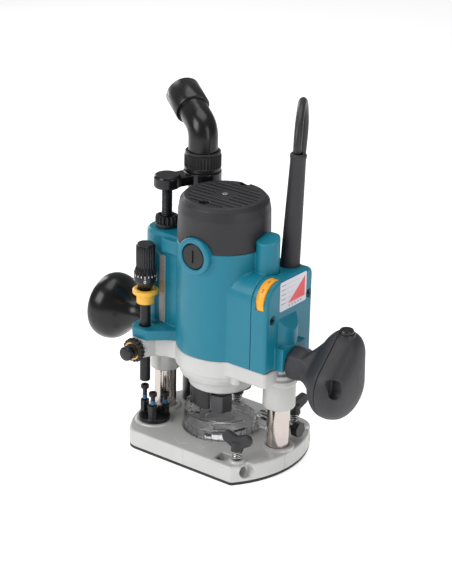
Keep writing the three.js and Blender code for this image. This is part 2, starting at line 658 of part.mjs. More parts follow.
const brushCap = (way) => at(0, 0, BRUSH_Z, along(way, cut(
  turned([[0, 40], [12.6, 40], [12.6, 46.2], [11.4, 47.4], [0, 47.4]], 24),
  block(-1, 1, -6, 6, 46, 50),
)));
const carbonBrush = (way) => at(0, 0, BRUSH_Z, along(way, block(-4, 4, -4, 4, 17.6, 39.5)));

const stator = () => cut(
  drum(MOTOR_R - MOTOR_WALL - GAP, 138, 192, 32),
  drum(24.5, 130, 200, 28),
);
const bearing = (z, outer, inner, height) => tube(outer, inner, z, z + height, 16);

const handleRing = (x, scale, count = 20) => {
  // The handle's outline across X: a large lower circle and a smaller one leaning back above it.
  const lower = { y: -2, z: 103.5, r: 31.5 };
  const upper = { y: 12, z: 139.5, r: 16 };
  const heart = { y: 2, z: 113 };
  const lean = Math.atan2(upper.z - lower.z, upper.y - lower.y);
  const spread = Math.acos((lower.r - upper.r)
    / Math.hypot(upper.z - lower.z, upper.y - lower.y));
  return Array.from({ length: count }, (_, i) => {
    const angle = lean + (2 * Math.PI * i) / count;
    const off = Math.abs(Math.atan2(Math.sin(angle - lean), Math.cos(angle - lean)));
    const disc = off < spread ? upper : lower;
    const y = disc.y + disc.r * Math.cos(angle);
    const z = disc.z + disc.r * Math.sin(angle);
    return new THREE.Vector3(x, heart.y + (y - heart.y) * scale, heart.z + (z - heart.z) * scale);
  });
};
const neckRing = (x, r, count = 20) => {
  const lean = Math.atan2(36, 14);
  return Array.from({ length: count }, (_, i) => {
    const angle = lean + (2 * Math.PI * i) / count;
    return new THREE.Vector3(x, r * Math.cos(angle), HANDLE_Z + r * Math.sin(angle));
  });
};
const rightHandle = () => cut(
  loft([
    neckRing(85.7, NECK_R - 1), neckRing(87, NECK_R), neckRing(103, NECK_R - 0.4),
    handleRing(113, 0.62), handleRing(120, 0.84), handleRing(126, 0.96),
    handleRing(HANDLE_SEAM_X, 1),
  ]),
  at(0, 0, HANDLE_Z, along('+X', drum(11, 96, HANDLE_SEAM_X + 1, 20))),
  at(0, TRIGGER.y, TRIGGER.z, block(112, 140, -7.5, 40, -13.5, 13.5)),
  at(0, 2, 104, along('+X', drum(24, 125, 140, 24))),
);
const handleCover = () => cut(
  loft([
    handleRing(HANDLE_SEAM_X + GAP, 1), handleRing(140, 0.99), handleRing(146, 0.93),
    handleRing(150.5, 0.78), handleRing(153.5, 0.5), handleRing(154.5, 0.2),
  ]),
  at(0, 2, 104, along('+X', drum(24, 130, 143, 24))),
  at(0, TRIGGER.y, TRIGGER.z, block(128, 143, -7.5, 40, -13.5, 13.5)),
  at(LOCK.x, LOCK.y, 0, drum(6.4, 135, 175, 16)),
  plate(polygon(6.5, 8), 0, 20).rotateY(-Math.PI / 2).translate(165, -13, 86),
);
const switchTrigger = () => {
  const outline = new THREE.Shape();
  outline.moveTo(TRIGGER.y - 0.5, TRIGGER.z - 12.5);
  outline.lineTo(TRIGGER.y + 10, TRIGGER.z - 12.5);
  outline.quadraticCurveTo(TRIGGER.y + 17, TRIGGER.z, TRIGGER.y + 10, TRIGGER.z + 12.5);
  outline.lineTo(TRIGGER.y - 0.5, TRIGGER.z + 12.5);
  return plate(outline, 114, 141, 4).rotateY(Math.PI / 2).rotateX(Math.PI / 2);
};
const lockButton = () => at(LOCK.x, LOCK.y, 0, turned([[0, 141], [5.6, 141], [5.6, 157.5],
  [4.8, 159], [0, 159]], 16));
const switchBody = () => block(126.5, 141, -14, 13, 92, 118);

const leftKnob = () => at(0, 0, KNOB_Z, along('-X', cut(
  turned([[0, 88.9], [14, 88.9], [14.5, 103], [24, 118], [31, 126], [KNOB_R, 134],
    [KNOB_R - 0.3, 141], [30, 146], [20, 150], [0, 152]], 24),
  drum(3.4, 80, 120, 12),
)));

const cordGuard = () => {
  const foot = new THREE.Vector3(GUARD_FOOT.x, GUARD_FOOT.y, GUARD_FOOT.z - 12);
  const top = new THREE.Vector3(GUARD_TOP.x, GUARD_TOP.y, GUARD_TOP.z);
  const way = top.clone().sub(foot);
  const length = way.length();
  const profile = [[CORD_R + GAP, 0], [9.6, 0], [9.6, 12], [9.4, 13], [7.4, length - 5],
    [7.9, length - 3.5], [7.9, length - 1], [7, length], [CORD_R + GAP, length],
    [CORD_R + GAP, 0]];
  const turn = new THREE.Quaternion()
    .setFromUnitVectors(new THREE.Vector3(0, 0, 1), way.normalize());
  return turned(profile, 24).applyQuaternion(turn).translate(foot.x, foot.y, foot.z);
};

const plungeLockLever = () => at(LEVER.x, 0, LEVER.z, along('+Y', join(
  drum(6.5, 40.4, 48, 16),
  block(-28, 0, -3.2, 3.2, 41.5, 46.5).rotateZ(Math.PI + 0.25),
)));

// The shaft lock hangs under the collar's front left, and its pin reaches towards the spindle.
const shaftLock = () => {
  const sector = plate(shapeOf([[-9, -6], [-34, -16.5], [-34, -34], [7.5, -34], [6, -18]]), 40, 80);
  const blade = common(tube(30, 26.5, 49, COLLAR_FOOT - GAP, 40), sector);
  return cut(blade, block(-40, 0, -1.6, 1.6, 55, 58.2).rotateZ(Math.atan2(23, 18)));
};

// ---------- spindle ----------
const armatureShaft = () => turned([[0, 57.5], [4.2, 57.5], [SPINDLE_R + 3, 57.5],
  [SPINDLE_R + 3, 66], [SPINDLE_R, 66], [SPINDLE_R, 120], [5, 122], [5, 250], [0, 250]], 20);
const colletNut = () => cut(
  join(plate(polygon(NUT_R, 6, Math.PI / 12), NUT_FOOT, NUT_TOP), drum(9, NUT_TOP - 1, 57, 20)),
  turned([[0, 30], [5.2, 30], [5.2, 42], [7.2, 46], [7.2, 60], [0, 60]], 16),
);
const colletCone = () => turned([[4.05, 38], [4.9, 38], [4.9, 42], [6.6, 46.5], [6.6, 57],
  [4.05, 57], [4.05, 38]], 16);
const rotor = () => turned([[5.1, 142], [23.8, 142], [23.8, 188], [16, 192], [16, 200],
  [17.2, 200], [17.2, 222], [5.1, 222], [5.1, 142]], 16);
const coolingFan = () => {
  const blades = Array.from({ length: 7 }, (_, i) =>
    block(11, 35, -1, 1, 124, 134).rotateZ((2 * Math.PI * i) / 7));
  return cut(join(drum(36, 133, 135, 20), drum(12, 124, 134, 12), ...blades),
    drum(5.15, 120, 140, 16));
};

// ---------- mains cord ----------
// The cord rises from the guard, turns over behind the body and comes down to the floor.
const CORD_ROUTE = [
  [61.6, 27, 308], [61.7, 27, 316], [59.5, 30.9, 327], [54.6, 39.4, 337.5], [48, 50.8, 344],
  [41, 62.7, 344.5], [34.5, 73.9, 338], [29.8, 82, 326.5], [27.4, 86.2, 312], [25, 87.5, 288],
  [20.5, 87, 240], [16, 86, 190], [12, 84.5, 140], [9, 83, 90], [7.6, 82.5, 60], [6.2, 84, 40],
  [1.5, 89.8, 20.5], [-6.3, 99.8, 8.2], [-16, 113, 4.2], [-26.5, 130.5, 4.2], [-38, 150, 4.2],
  [-50, 170.4, 4.2],
];
const COIL = { x: -121.9, y: 177.4, inner: 33, outer: 60, top: 25 };
const PLUG_BACK = { x: -130.3, y: 147.7, z: 43.9 };
const cordRun = () => {
  const route = new THREE.CatmullRomCurve3(
    CORD_ROUTE.map((point) => new THREE.Vector3(...point)), false, 'centripetal');
  return new THREE.ExtrudeGeometry(polygon(CORD_R, 8), {
    steps: 40, bevelEnabled: false, extrudePath: route,
  });
};
const cordCoil = () => at(COIL.x, COIL.y, 0, turned([[COIL.inner, 3], [COIL.inner + 3, 0.1],
  [COIL.outer - 3, 0.1], [COIL.outer, 3], [COIL.outer, COIL.top - 3],
  [COIL.outer - 3, COIL.top], [COIL.inner + 3, COIL.top], [COIL.inner, COIL.top - 3],
  [COIL.inner, 3]], 24));
const cordPlug = () => {
  const body = turned([[0, 0], [5, 0], [6.5, 14], [15, 26], [18.5, 32], [18.5, 46], [0, 46]], 20);
  const pins = [-9.5, 9.5].map((x) => at(x, 0, 0, drum(2.4, 45, 65, 10)));
  return along('+X', join(body, ...pins));
};

// ---------- assembly ----------
add('base_casting', baseCasting(), CAST);
add('sole_plate', solePlate(), BLACK);
add('left_post', guidePost(), STEEL, -POST_X);
add('right_post', guidePost(), STEEL, POST_X);
const plungeSpring = () =>
  coilSpring(6.5, 0.9, SPRING_SEAT + GAP, SLEEVE_CEILING - GAP, 9, 7);
add('left_plunge_spring', plungeSpring(), STEEL, -POST_X);
add('right_plunge_spring', plungeSpring(), STEEL, POST_X);
add('threaded_rod', threadedRod(), BLACK, -POST_X);
add('upper_limit_nut', cut(
  plate(ridged(11.2, 10.3, 14), LIMIT_NUT_FOOT, LIMIT_NUT_TOP),
  drum(THREAD_R + GAP, 200, 230, 16),
), BLACK, -POST_X);
add('dust_nozzle', dustNozzle(), CLEAR);
add('nozzle_thumb_screw', thumbScrew(), BLACK, 0, SCREW_Y, SCREW_Z);
add('dust_pipe', dustPipe(), BLACK, PIPE.x, PIPE.y);
add('dust_arm', dustArm(), BLACK, -POST_X);
add('dust_coupling_nut', couplingNut(), BLACK, PIPE.x, PIPE.y);
add('dust_elbow', dustElbow(), BLACK, PIPE.x, PIPE.y);
add('front_wing_bolt', wingBolt().rotateZ(0.15), CHARCOAL, FRONT_BOLT.x, FRONT_BOLT.y);
add('rear_right_wing_bolt', wingBolt().rotateZ(1.35), CHARCOAL,
  REAR_RIGHT_BOLT.x, REAR_RIGHT_BOLT.y);
add('rear_left_wing_bolt', wingBolt(), CHARCOAL, REAR_LEFT_BOLT.x, REAR_LEFT_BOLT.y);
add('stop_turret', stopTurret(), BLACK, TURRET.x, TURRET.y);
STOP_BOLTS.forEach(({ angle, head }, i) => {
  const x = TURRET.x + PILLAR_REACH * Math.cos(angle);
  const y = TURRET.y + PILLAR_REACH * Math.sin(angle);
  add(`stop_bolt_${i + 1}`, stopBolt(head), BLACK, x, y);
});
add('turret_screw', join(drum(2.3, 15, 34, 12), drum(4.4, 33.3, 36, 12)), BRIGHT,
  TURRET.x, TURRET.y);

add('bracket_casting', bracketCasting(), CAST);
add('motor_housing', motorHousing(), TEAL);
add('scale_plate', scalePlate(), BRIGHT);
add('switch_cover', switchCover(), TEAL);
add('speed_dial', speedDial(), ORANGE);
add('speed_controller', speedController(), CARBON);
add('motor_cap', motorCap(), CHARCOAL);
add('front_brush_cap', brushCap('-Y'), CHARCOAL);
add('rear_brush_cap', brushCap('+Y'), CHARCOAL);
add('front_carbon_brush', carbonBrush('-Y'), CARBON);
add('rear_carbon_brush', carbonBrush('+Y'), CARBON);
add('stator', stator(), COPPER);
add('lower_bearing', bearing(74, 16.7, 6.15, 14), STEEL);
add('upper_bearing', bearing(232, 11, 5.15, 8), STEEL);
add('cap_screw', join(drum(3.1, 257.8, 259, 16), drum(3, 258, 260.8, 16)), BRIGHT);
add('right_handle', rightHandle(), CHARCOAL);
add('handle_cover', handleCover(), CHARCOAL);
add('switch_body', switchBody(), BLACK);
add('switch_trigger', switchTrigger(), BLACK);
add('lock_button', lockButton(), BLACK);
add('left_knob', leftKnob(), BLACK);
add('cord_guard', cordGuard(), CHARCOAL);
add('plunge_lock_lever', plungeLockLever(), CHARCOAL);
add('shaft_lock', shaftLock(), BLACK);

add('stop_pole', stopPole(), BLACK, POLE.x, POLE.y);
add('stop_pole_knob', stopKnob(), BLACK, POLE.x, POLE.y);
add('depth_pointer', depthPointer(), YELLOW, POLE.x, POLE.y);
add('setting_nut', settingNut(), BLACK, POLE.x, POLE.y, SETTING_Z);
add('fast_feed_button', fastFeedButton(), BLACK, POLE.x, POLE.y, SETTING_Z);

add('armature_shaft', armatureShaft(), BRIGHT);
add('rotor', rotor(), COPPER);
add('cooling_fan', coolingFan(), BLACK);
add('collet_nut', colletNut(), CARBON);
add('collet_cone', colletCone(), STEEL);

add('cord_run', cordRun(), BLACK);
add('cord_coil', cordCoil(), BLACK);
add('cord_plug', cordPlug(), BLACK, PLUG_BACK.x, PLUG_BACK.y, PLUG_BACK.z);

export default router;
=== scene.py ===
"""Plunge router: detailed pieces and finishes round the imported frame, on a pale studio floor.

Every length below is in millimetres and every place is measured from the spindle's axis and
the floor, as on a drawing of the machine. place() turns such a place into the frame's metres.
"""
import json
import math

import bmesh
import bpy
from mathutils import Matrix, Vector


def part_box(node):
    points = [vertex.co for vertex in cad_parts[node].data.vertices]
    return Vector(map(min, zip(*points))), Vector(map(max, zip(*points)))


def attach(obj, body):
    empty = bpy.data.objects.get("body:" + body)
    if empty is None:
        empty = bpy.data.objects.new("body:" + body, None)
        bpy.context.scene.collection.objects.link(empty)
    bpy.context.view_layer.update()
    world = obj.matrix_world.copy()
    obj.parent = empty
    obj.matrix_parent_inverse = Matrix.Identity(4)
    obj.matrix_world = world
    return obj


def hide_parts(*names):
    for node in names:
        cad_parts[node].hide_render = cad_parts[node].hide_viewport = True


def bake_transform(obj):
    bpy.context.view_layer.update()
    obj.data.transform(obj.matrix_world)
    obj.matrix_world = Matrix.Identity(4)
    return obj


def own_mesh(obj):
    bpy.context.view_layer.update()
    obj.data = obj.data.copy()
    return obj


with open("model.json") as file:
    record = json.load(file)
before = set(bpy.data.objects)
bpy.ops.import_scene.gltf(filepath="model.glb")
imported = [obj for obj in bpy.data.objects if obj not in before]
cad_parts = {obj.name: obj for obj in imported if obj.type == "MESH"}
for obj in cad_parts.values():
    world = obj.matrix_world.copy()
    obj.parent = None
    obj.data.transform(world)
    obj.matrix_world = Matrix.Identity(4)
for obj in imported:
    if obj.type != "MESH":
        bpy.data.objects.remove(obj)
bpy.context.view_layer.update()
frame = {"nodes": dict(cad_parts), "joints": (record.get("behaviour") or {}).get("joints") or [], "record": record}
RECORD = frame["record"]
NODES = frame["nodes"]
JOINTS = {joint["name"]: joint for joint in frame["joints"]}
BODY_OF = {node: body for body, nodes in RECORD["behaviour"]["bodies"].items() for node in nodes}
SLOT_OF = {part["node"]: part["material_slot"] for part in RECORD["subparts"]}

MM = 0.001
SPINDLE = Vector(JOINTS["spindle_turn"]["pos_m"]).xy.to_3d()
X_AXIS, Y_AXIS, Z_AXIS = Vector((1, 0, 0)), Vector((0, 1, 0)), Vector((0, 0, 1))


def place(x, y, z=0.0):
    return SPINDLE + Vector((x, y, z)) * MM


def seat(joint):
    """A joint's place, in millimetres from the spindle's axis and the floor."""
    point = (Vector(JOINTS[joint]["pos_m"]) - SPINDLE) / MM
    return point


PIPE = seat("coupling_nut_turn")
POLE = seat("stop_knob_turn")
TURRET = seat("turret_turn")
DIAL = seat("dial_turn")
WINGS = {"front_wing": seat("front_wing_turn"), "rear_right_wing": seat("rear_right_wing_turn"),
         "rear_left_wing": seat("rear_left_wing_turn")}
POST_X = 69.7
MOTOR_R = 44.5
BRUSH_Z = 211.6
HANDLE_Z = 113
COVER_FACE = 76


# ---------- camera ----------
def add_camera():
    """A long lens from the front right, a little above the machine and very slightly rolled."""
    heading, height, roll = (math.radians(a) for a in (37.18, 23.09, 1.25))
    distance, right_offset, up_offset, target_z = 1943.88, -3.48, -28.32, 130
    forward = Vector((-math.sin(heading) * math.cos(height),
                      math.cos(heading) * math.cos(height), -math.sin(height)))
    level = Vector((math.cos(heading), math.sin(heading), 0))
    upright = level.cross(forward)
    right = level * math.cos(roll) + upright * math.sin(roll)
    up = upright * math.cos(roll) - level * math.sin(roll)
    eye = Vector((0, 0, target_z)) - forward * distance - right * right_offset - up * up_offset
    lens = bpy.data.cameras.new("camera")
    lens.sensor_width = 36
    lens.lens = 124.95
    camera = bpy.data.objects.new("camera", lens)
    bpy.context.scene.collection.objects.link(camera)
    turn = Matrix((right, up, -forward)).transposed().to_4x4()
    camera.matrix_world = Matrix.Translation(place(*eye)) @ turn
    bpy.context.scene.camera = camera
    bpy.context.scene.view_settings.view_transform = "Standard"


add_camera()


# ---------- materials ----------
def nodes_of(name):
    material = bpy.data.materials.new(name)
    material.use_nodes = True
    tree = material.node_tree
    return material, tree, tree.nodes["Principled BSDF"]


def noise(tree, scale, detail=3.0, stretch=(1, 1, 1)):
    """Noise in the piece's own space, so that it stays on the surface when the piece moves."""
    space = tree.nodes.new("ShaderNodeTexCoord")
    mapping = tree.nodes.new("ShaderNodeMapping")
    mapping.inputs["Scale"].default_value = stretch
    texture = tree.nodes.new("ShaderNodeTexNoise")
    texture.inputs["Scale"].default_value = scale
    texture.inputs["Detail"].default_value = detail
    tree.links.new(space.outputs["Object"], mapping.inputs["Vector"])
    tree.links.new(mapping.outputs["Vector"], texture.inputs["Vector"])
    return texture.outputs["Fac"]


def ramp(tree, source, low, high, start=0.3, end=0.7):
    made = tree.nodes.new("ShaderNodeValToRGB")
    made.color_ramp.elements[0].position = start
    made.color_ramp.elements[1].position = end
    made.color_ramp.elements[0].color = low
    made.color_ramp.elements[1].color = high
    tree.links.new(source, made.inputs["Fac"])
    return made.outputs["Color"]


def shade(colour, factor):
    return tuple(min(1.0, c * factor) for c in colour) + (1,)


def finish(name, colour, rough, metallic=0.0, grain=1800, bump=0.05, blotch=45, vary=0.06,
           rough_vary=0.08, stretch=(1, 1, 1), coat=0.0, specular=0.5, wear=0.0, glow=0.0):
    """A surface with colour blotches, a fine grain, uneven gloss and slightly worn edges."""
    material, tree, shader = nodes_of(name)
    shader.inputs["Metallic"].default_value = metallic
    shader.inputs["Coat Weight"].default_value = coat
    shader.inputs["Coat Roughness"].default_value = 0.15
    shader.inputs["Specular IOR Level"].default_value = specular
    shader.inputs["Emission Strength"].default_value = glow
    base = ramp(tree, noise(tree, blotch), shade(colour, 1 - vary), shade(colour, 1 + vary))
    if wear:
        geometry = tree.nodes.new("ShaderNodeNewGeometry")
        edge = ramp(tree, geometry.outputs["Pointiness"], (0, 0, 0, 1), (wear,) * 3 + (1,),
                    0.51, 0.58)
        lighter = tree.nodes.new("ShaderNodeMix")
        lighter.data_type = "RGBA"
        tree.links.new(edge, lighter.inputs["Factor"])
        tree.links.new(base, lighter.inputs["A"])
        lighter.inputs["B"].default_value = shade([c * 0.5 + 0.35 for c in colour], 1)
        base = lighter.outputs["Result"]
    tree.links.new(base, shader.inputs["Base Color"])
    gloss = tree.nodes.new("ShaderNodeMapRange")
    gloss.inputs["To Min"].default_value = max(0.02, rough - rough_vary)
    gloss.inputs["To Max"].default_value = min(1.0, rough + rough_vary)
    tree.links.new(noise(tree, blotch * 4, stretch=stretch), gloss.inputs["Value"])
    tree.links.new(gloss.outputs["Result"], shader.inputs["Roughness"])
    relief = tree.nodes.new("ShaderNodeBump")
    relief.inputs["Strength"].default_value = bump
    relief.inputs["Distance"].default_value = 0.2 * MM
    tree.links.new(noise(tree, grain, 2.0, stretch), relief.inputs["Height"])
    tree.links.new(relief.outputs["Normal"], shader.inputs["Normal"])
    return material


def clear_finish(name, tint):
    """Clear plastic with faint flow marks from moulding."""
    material, tree, shader = nodes_of(name)
    shader.inputs["Base Color"].default_value = tint + (1,)
    shader.inputs["Transmission Weight"].default_value = 1.0
    shader.inputs["IOR"].default_value = 1.46
    gloss = tree.nodes.new("ShaderNodeMapRange")
    gloss.inputs["To Min"].default_value = 0.03
    gloss.inputs["To Max"].default_value = 0.07
    tree.links.new(noise(tree, 90), gloss.inputs["Value"])
    tree.links.new(gloss.outputs["Result"], shader.inputs["Roughness"])
    relief = tree.nodes.new("ShaderNodeBump")
    relief.inputs["Strength"].default_value = 0.04
    relief.inputs["Distance"].default_value = 0.3 * MM
    tree.links.new(noise(tree, 140), relief.inputs["Height"])
    tree.links.new(relief.outputs["Normal"], shader.inputs["Normal"])
    return material


TEAL = finish("teal_moulding", (0.004, 0.185, 0.27), 0.40, grain=2600, bump=0.10, coat=0.10,
              vary=0.03, wear=0.10, specular=0.35)
CHARCOAL = finish("charcoal_moulding", (0.022, 0.021, 0.024), 0.46, grain=2300, bump=0.30,
                  vary=0.06, wear=0.08, specular=0.4)
HANDLE = finish("handle_moulding", (0.028, 0.027, 0.031), 0.50, grain=1900, bump=0.35,
                vary=0.08, wear=0.06, specular=0.45)
GLOSS_BLACK = finish("gloss_black_moulding", (0.006, 0.006, 0.007), 0.24, grain=900, bump=0.03,
                     vary=0.1, wear=0.03, specular=0.4)
SATIN_BLACK = finish("satin_black_moulding", (0.008, 0.008, 0.009), 0.36, grain=2000, bump=0.10,
                     vary=0.1, wear=0.05, specular=0.4)
DARK_RUBBER = finish("guard_rubber", (0.024, 0.023, 0.026), 0.58, grain=2600, bump=0.25,
                     vary=0.08)
CORD_RUBBER = finish("cord_jacket", (0.020, 0.020, 0.022), 0.42, grain=3000, bump=0.10, vary=0.1)
CAST = finish("cast_alloy", (0.56, 0.56, 0.55), 0.42, metallic=0.25, grain=2600, bump=0.22,
              vary=0.03, rough_vary=0.06, wear=0.35)
POST_STEEL = finish("ground_post", (0.56, 0.50, 0.465), 0.17, metallic=1.0, grain=700, bump=0.10,
                    stretch=(1, 1, 6), vary=0.05)
BRIGHT = finish("bright_steel", (0.72, 0.71, 0.70), 0.20, metallic=1.0, grain=1500, bump=0.08)
BLUED = finish("blued_steel", (0.018, 0.018, 0.020), 0.30, metallic=0.5, grain=1700, bump=0.15)
COLLET_STEEL = finish("collet_nut_steel", (0.06, 0.06, 0.065), 0.34, metallic=0.75, grain=1300,
                      bump=0.2, wear=0.25)
PLATE_GREY = finish("scale_metal", (0.50, 0.49, 0.48), 0.36, metallic=0.35, grain=1500, bump=0.08,
                    vary=0.04)
BRASS = finish("brass_ring", (0.62, 0.36, 0.12), 0.28, metallic=1.0, grain=1500, bump=0.1)
COPPER = finish("lacquered_winding", (0.42, 0.16, 0.07), 0.32, metallic=0.7, grain=700, bump=0.5,
                stretch=(1, 1, 5))
YELLOW = finish("yellow_moulding", (0.86, 0.46, 0.045), 0.32, grain=2400, bump=0.08, vary=0.03)
ORANGE = finish("orange_moulding", (0.90, 0.40, 0.025), 0.38, grain=2400, bump=0.10, vary=0.03)
WHITE_PRINT = finish("white_print", (0.85, 0.85, 0.85), 0.45, grain=2600, bump=0.05, vary=0.02)
BLACK_PRINT = finish("black_print", (0.02, 0.02, 0.02), 0.45, grain=2600, bump=0.05, vary=0.05)
GREY_PRINT = finish("grey_print", (0.36, 0.36, 0.38), 0.45, grain=2600, bump=0.05, vary=0.05)
RED_PRINT = finish("red_print", (0.80, 0.075, 0.085), 0.42, grain=2600, bump=0.04, vary=0.04)
LABEL = finish("label_film", (0.70, 0.69, 0.76), 0.35, grain=2600, bump=0.04, vary=0.03)
TAN_PRINT = finish("tan_print", (0.40, 0.30, 0.20), 0.4, grain=2600, bump=0.05, vary=0.05)
BLUE_PATCH = finish("thread_patch", (0.02, 0.13, 0.28), 0.45, grain=1800, bump=0.2, vary=0.1)
CARBON = finish("carbon_block", (0.03, 0.03, 0.032), 0.6, metallic=0.2, grain=1500, bump=0.3)
CLEAR = clear_finish("clear_moulding", (0.97, 0.97, 0.985))

CAD_FINISH = {
    "cast_alloy": CAST, "teal_plastic": TEAL, "charcoal_plastic": CHARCOAL,
    "black_plastic": SATIN_BLACK, "ground_steel": POST_STEEL, "blued_steel": BLUED,
    "bright_steel": BRIGHT, "copper_winding": COPPER, "yellow_plastic": YELLOW,
    "orange_plastic": ORANGE, "clear_plastic": CLEAR, "carbon": CARBON,
    "cord_rubber": CORD_RUBBER, "guard_rubber": DARK_RUBBER,
}
for node, node_object in NODES.items():
    node_object.data.materials.clear()
    node_object.data.materials.append(CAD_FINISH[SLOT_OF[node]])


# ---------- building pieces ----------
SHARP = math.radians(32)


def link(name, mesh):
    piece = bpy.data.objects.new(name, mesh)
    bpy.context.scene.collection.objects.link(piece)
    return piece


def settle(piece, body, slot=None, stands_for=()):
    """Puts a finished piece on its body and hides the CAD parts that it stands for; the slot is worked out but not
    used.
    """
    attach(piece, body)
    if stands_for:
        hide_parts(*stands_for)
        slot = slot or SLOT_OF[stands_for[0]]
    return piece


def to_mesh(name, shell, material, sharp=SHARP):
    """A bmesh in metres as a smooth-shaded object whose hard edges stay hard."""
    bmesh.ops.remove_doubles(shell, verts=shell.verts, dist=1e-6)
    bmesh.ops.recalc_face_normals(shell, faces=shell.faces)
    for face in shell.faces:
        face.smooth = True
    for edge in shell.edges:
        edge.smooth = edge.calc_face_angle(0.0) < sharp
    mesh = bpy.data.meshes.new(name)
    shell.to_mesh(mesh)
    shell.free()
    mesh.materials.append(material)
    return link(name, mesh)


def applied(piece):
    """The piece with its modifiers made real."""
    seen = piece.evaluated_get(bpy.context.evaluated_depsgraph_get())
    mesh = bpy.data.meshes.new_from_object(seen)
    piece.modifiers.clear()
    piece.data = mesh
    return piece


def bevelled(piece, width, segments=2):
    modifier = piece.modifiers.new("edges", "BEVEL")
    modifier.width = width * MM
    modifier.segments = segments
    modifier.limit_method = "ANGLE"
    modifier.angle_limit = SHARP
    modifier.harden_normals = False
    return applied(piece)


def facing(axis):
    """The turn that takes +Z to the given direction."""
    return Z_AXIS.rotation_difference(Vector(axis)).to_matrix().to_4x4()


def located(origin, axis):
    return Matrix.Translation(place(*origin)) @ facing(axis)


def lathe(profile, origin=(0, 0, 0), axis=Z_AXIS, steps=64, ribs=0, depth=0.0, into=None):
    """A shape turned round an axis from (radius, height) pairs. A point with a third value of 1
    lies on ribs, which cut it in by depth between them."""
    shell = into or bmesh.new()
    frame_of = located(origin, axis)
    rings = []
    for point in profile:
        radius, height, ribbed = point if len(point) == 3 else (*point, 0)
        ring = []
        for i in range(steps):
            angle = 2 * math.pi * i / steps
            wave = 0.5 - 0.5 * math.cos(ribs * angle) if ribs else 0
            r = (radius - ribbed * depth * min(1.0, 1.6 * wave)) * MM
            ring.append(shell.verts.new(
                frame_of @ Vector((r * math.cos(angle), r * math.sin(angle), height * MM))))
        rings.append(ring)
    for lower, upper in zip(rings, rings[1:]):
        for i in range(steps):
            j = (i + 1) % steps
            shell.faces.new((lower[i], lower[j], upper[j], upper[i]))
    return shell


def prism(outline, low, high, origin=(0, 0, 0), axis=Z_AXIS, into=None):
    """A flat shape with straight walls, from corners in its own plane."""
    shell = into or bmesh.new()
    frame_of = located(origin, axis)
    rings = [[shell.verts.new(frame_of @ (Vector((x, y, z)) * MM)) for x, y in outline]
             for z in (low, high)]
    count = len(outline)
    for i in range(count):
        j = (i + 1) % count
        shell.faces.new((rings[0][i], rings[0][j], rings[1][j], rings[1][i]))
    shell.faces.new(rings[1])
    shell.faces.new(rings[0][::-1])
    return shell


def slab(low, high, into=None):
    """A box between two corners, given in millimetres from the spindle's axis."""
    outline = [(low[0], low[1]), (high[0], low[1]), (high[0], high[1]), (low[0], high[1])]
    return prism(outline, low[2], high[2], into=into)


def sweep(points, radius, sides=12, into=None, closed_ends=True):
    """A round bar along points in millimetres. radius may change with the share of the way."""
    shell = into or bmesh.new()
    line = [place(*p) for p in points]
    normal = None
    rings = []
    for i, point in enumerate(line):
        ahead = (line[min(i + 1, len(line) - 1)] - line[max(i - 1, 0)]).normalized()
        if normal is None:
            normal = ahead.orthogonal().normalized()
        normal = (normal - ahead * normal.dot(ahead)).normalized()
        side = ahead.cross(normal)
        r = (radius(i / (len(line) - 1)) if callable(radius) else radius) * MM
        rings.append([shell.verts.new(point + (normal * math.cos(a) + side * math.sin(a)) * r)
                      for a in (2 * math.pi * k / sides for k in range(sides))])
    for lower, upper in zip(rings, rings[1:]):
        for k in range(sides):
            j = (k + 1) % sides
            shell.faces.new((lower[k], lower[j], upper[j], upper[k]))
    if closed_ends:
        shell.faces.new(rings[0][::-1])
        shell.faces.new(rings[-1])
    return shell


def helix(origin, radius, wire, low, high, turns, per_turn=18):
    count = int(turns * per_turn)
    return [(origin[0] + radius * math.cos(2 * math.pi * i / per_turn),
             origin[1] + radius * math.sin(2 * math.pi * i / per_turn),
             low + wire + (high - low - 2 * wire) * i / count) for i in range(count + 1)]


def rounded(shell, rounds):
    """Moves the points of flat facets out to the true round surface that they stand for.
    Each round is (axis, u, v, radius, segments); radius may be a function of the height."""
    for vert in shell.verts:
        point = (vert.co - SPINDLE) / MM
        for axis, u, v, radius, segments in rounds:
            i, j, k = {"x": (1, 2, 0), "y": (0, 2, 1), "z": (0, 1, 2)}[axis]
            r = radius(point[k]) if callable(radius) else radius
            away = math.hypot(point[i] - u, point[j] - v)
            if r * math.cos(math.pi / segments) - 0.06 < away < r + 0.03:
                point[i] = u + (point[i] - u) * r / away
                point[j] = v + (point[j] - v) * r / away
        vert.co = SPINDLE + point * MM


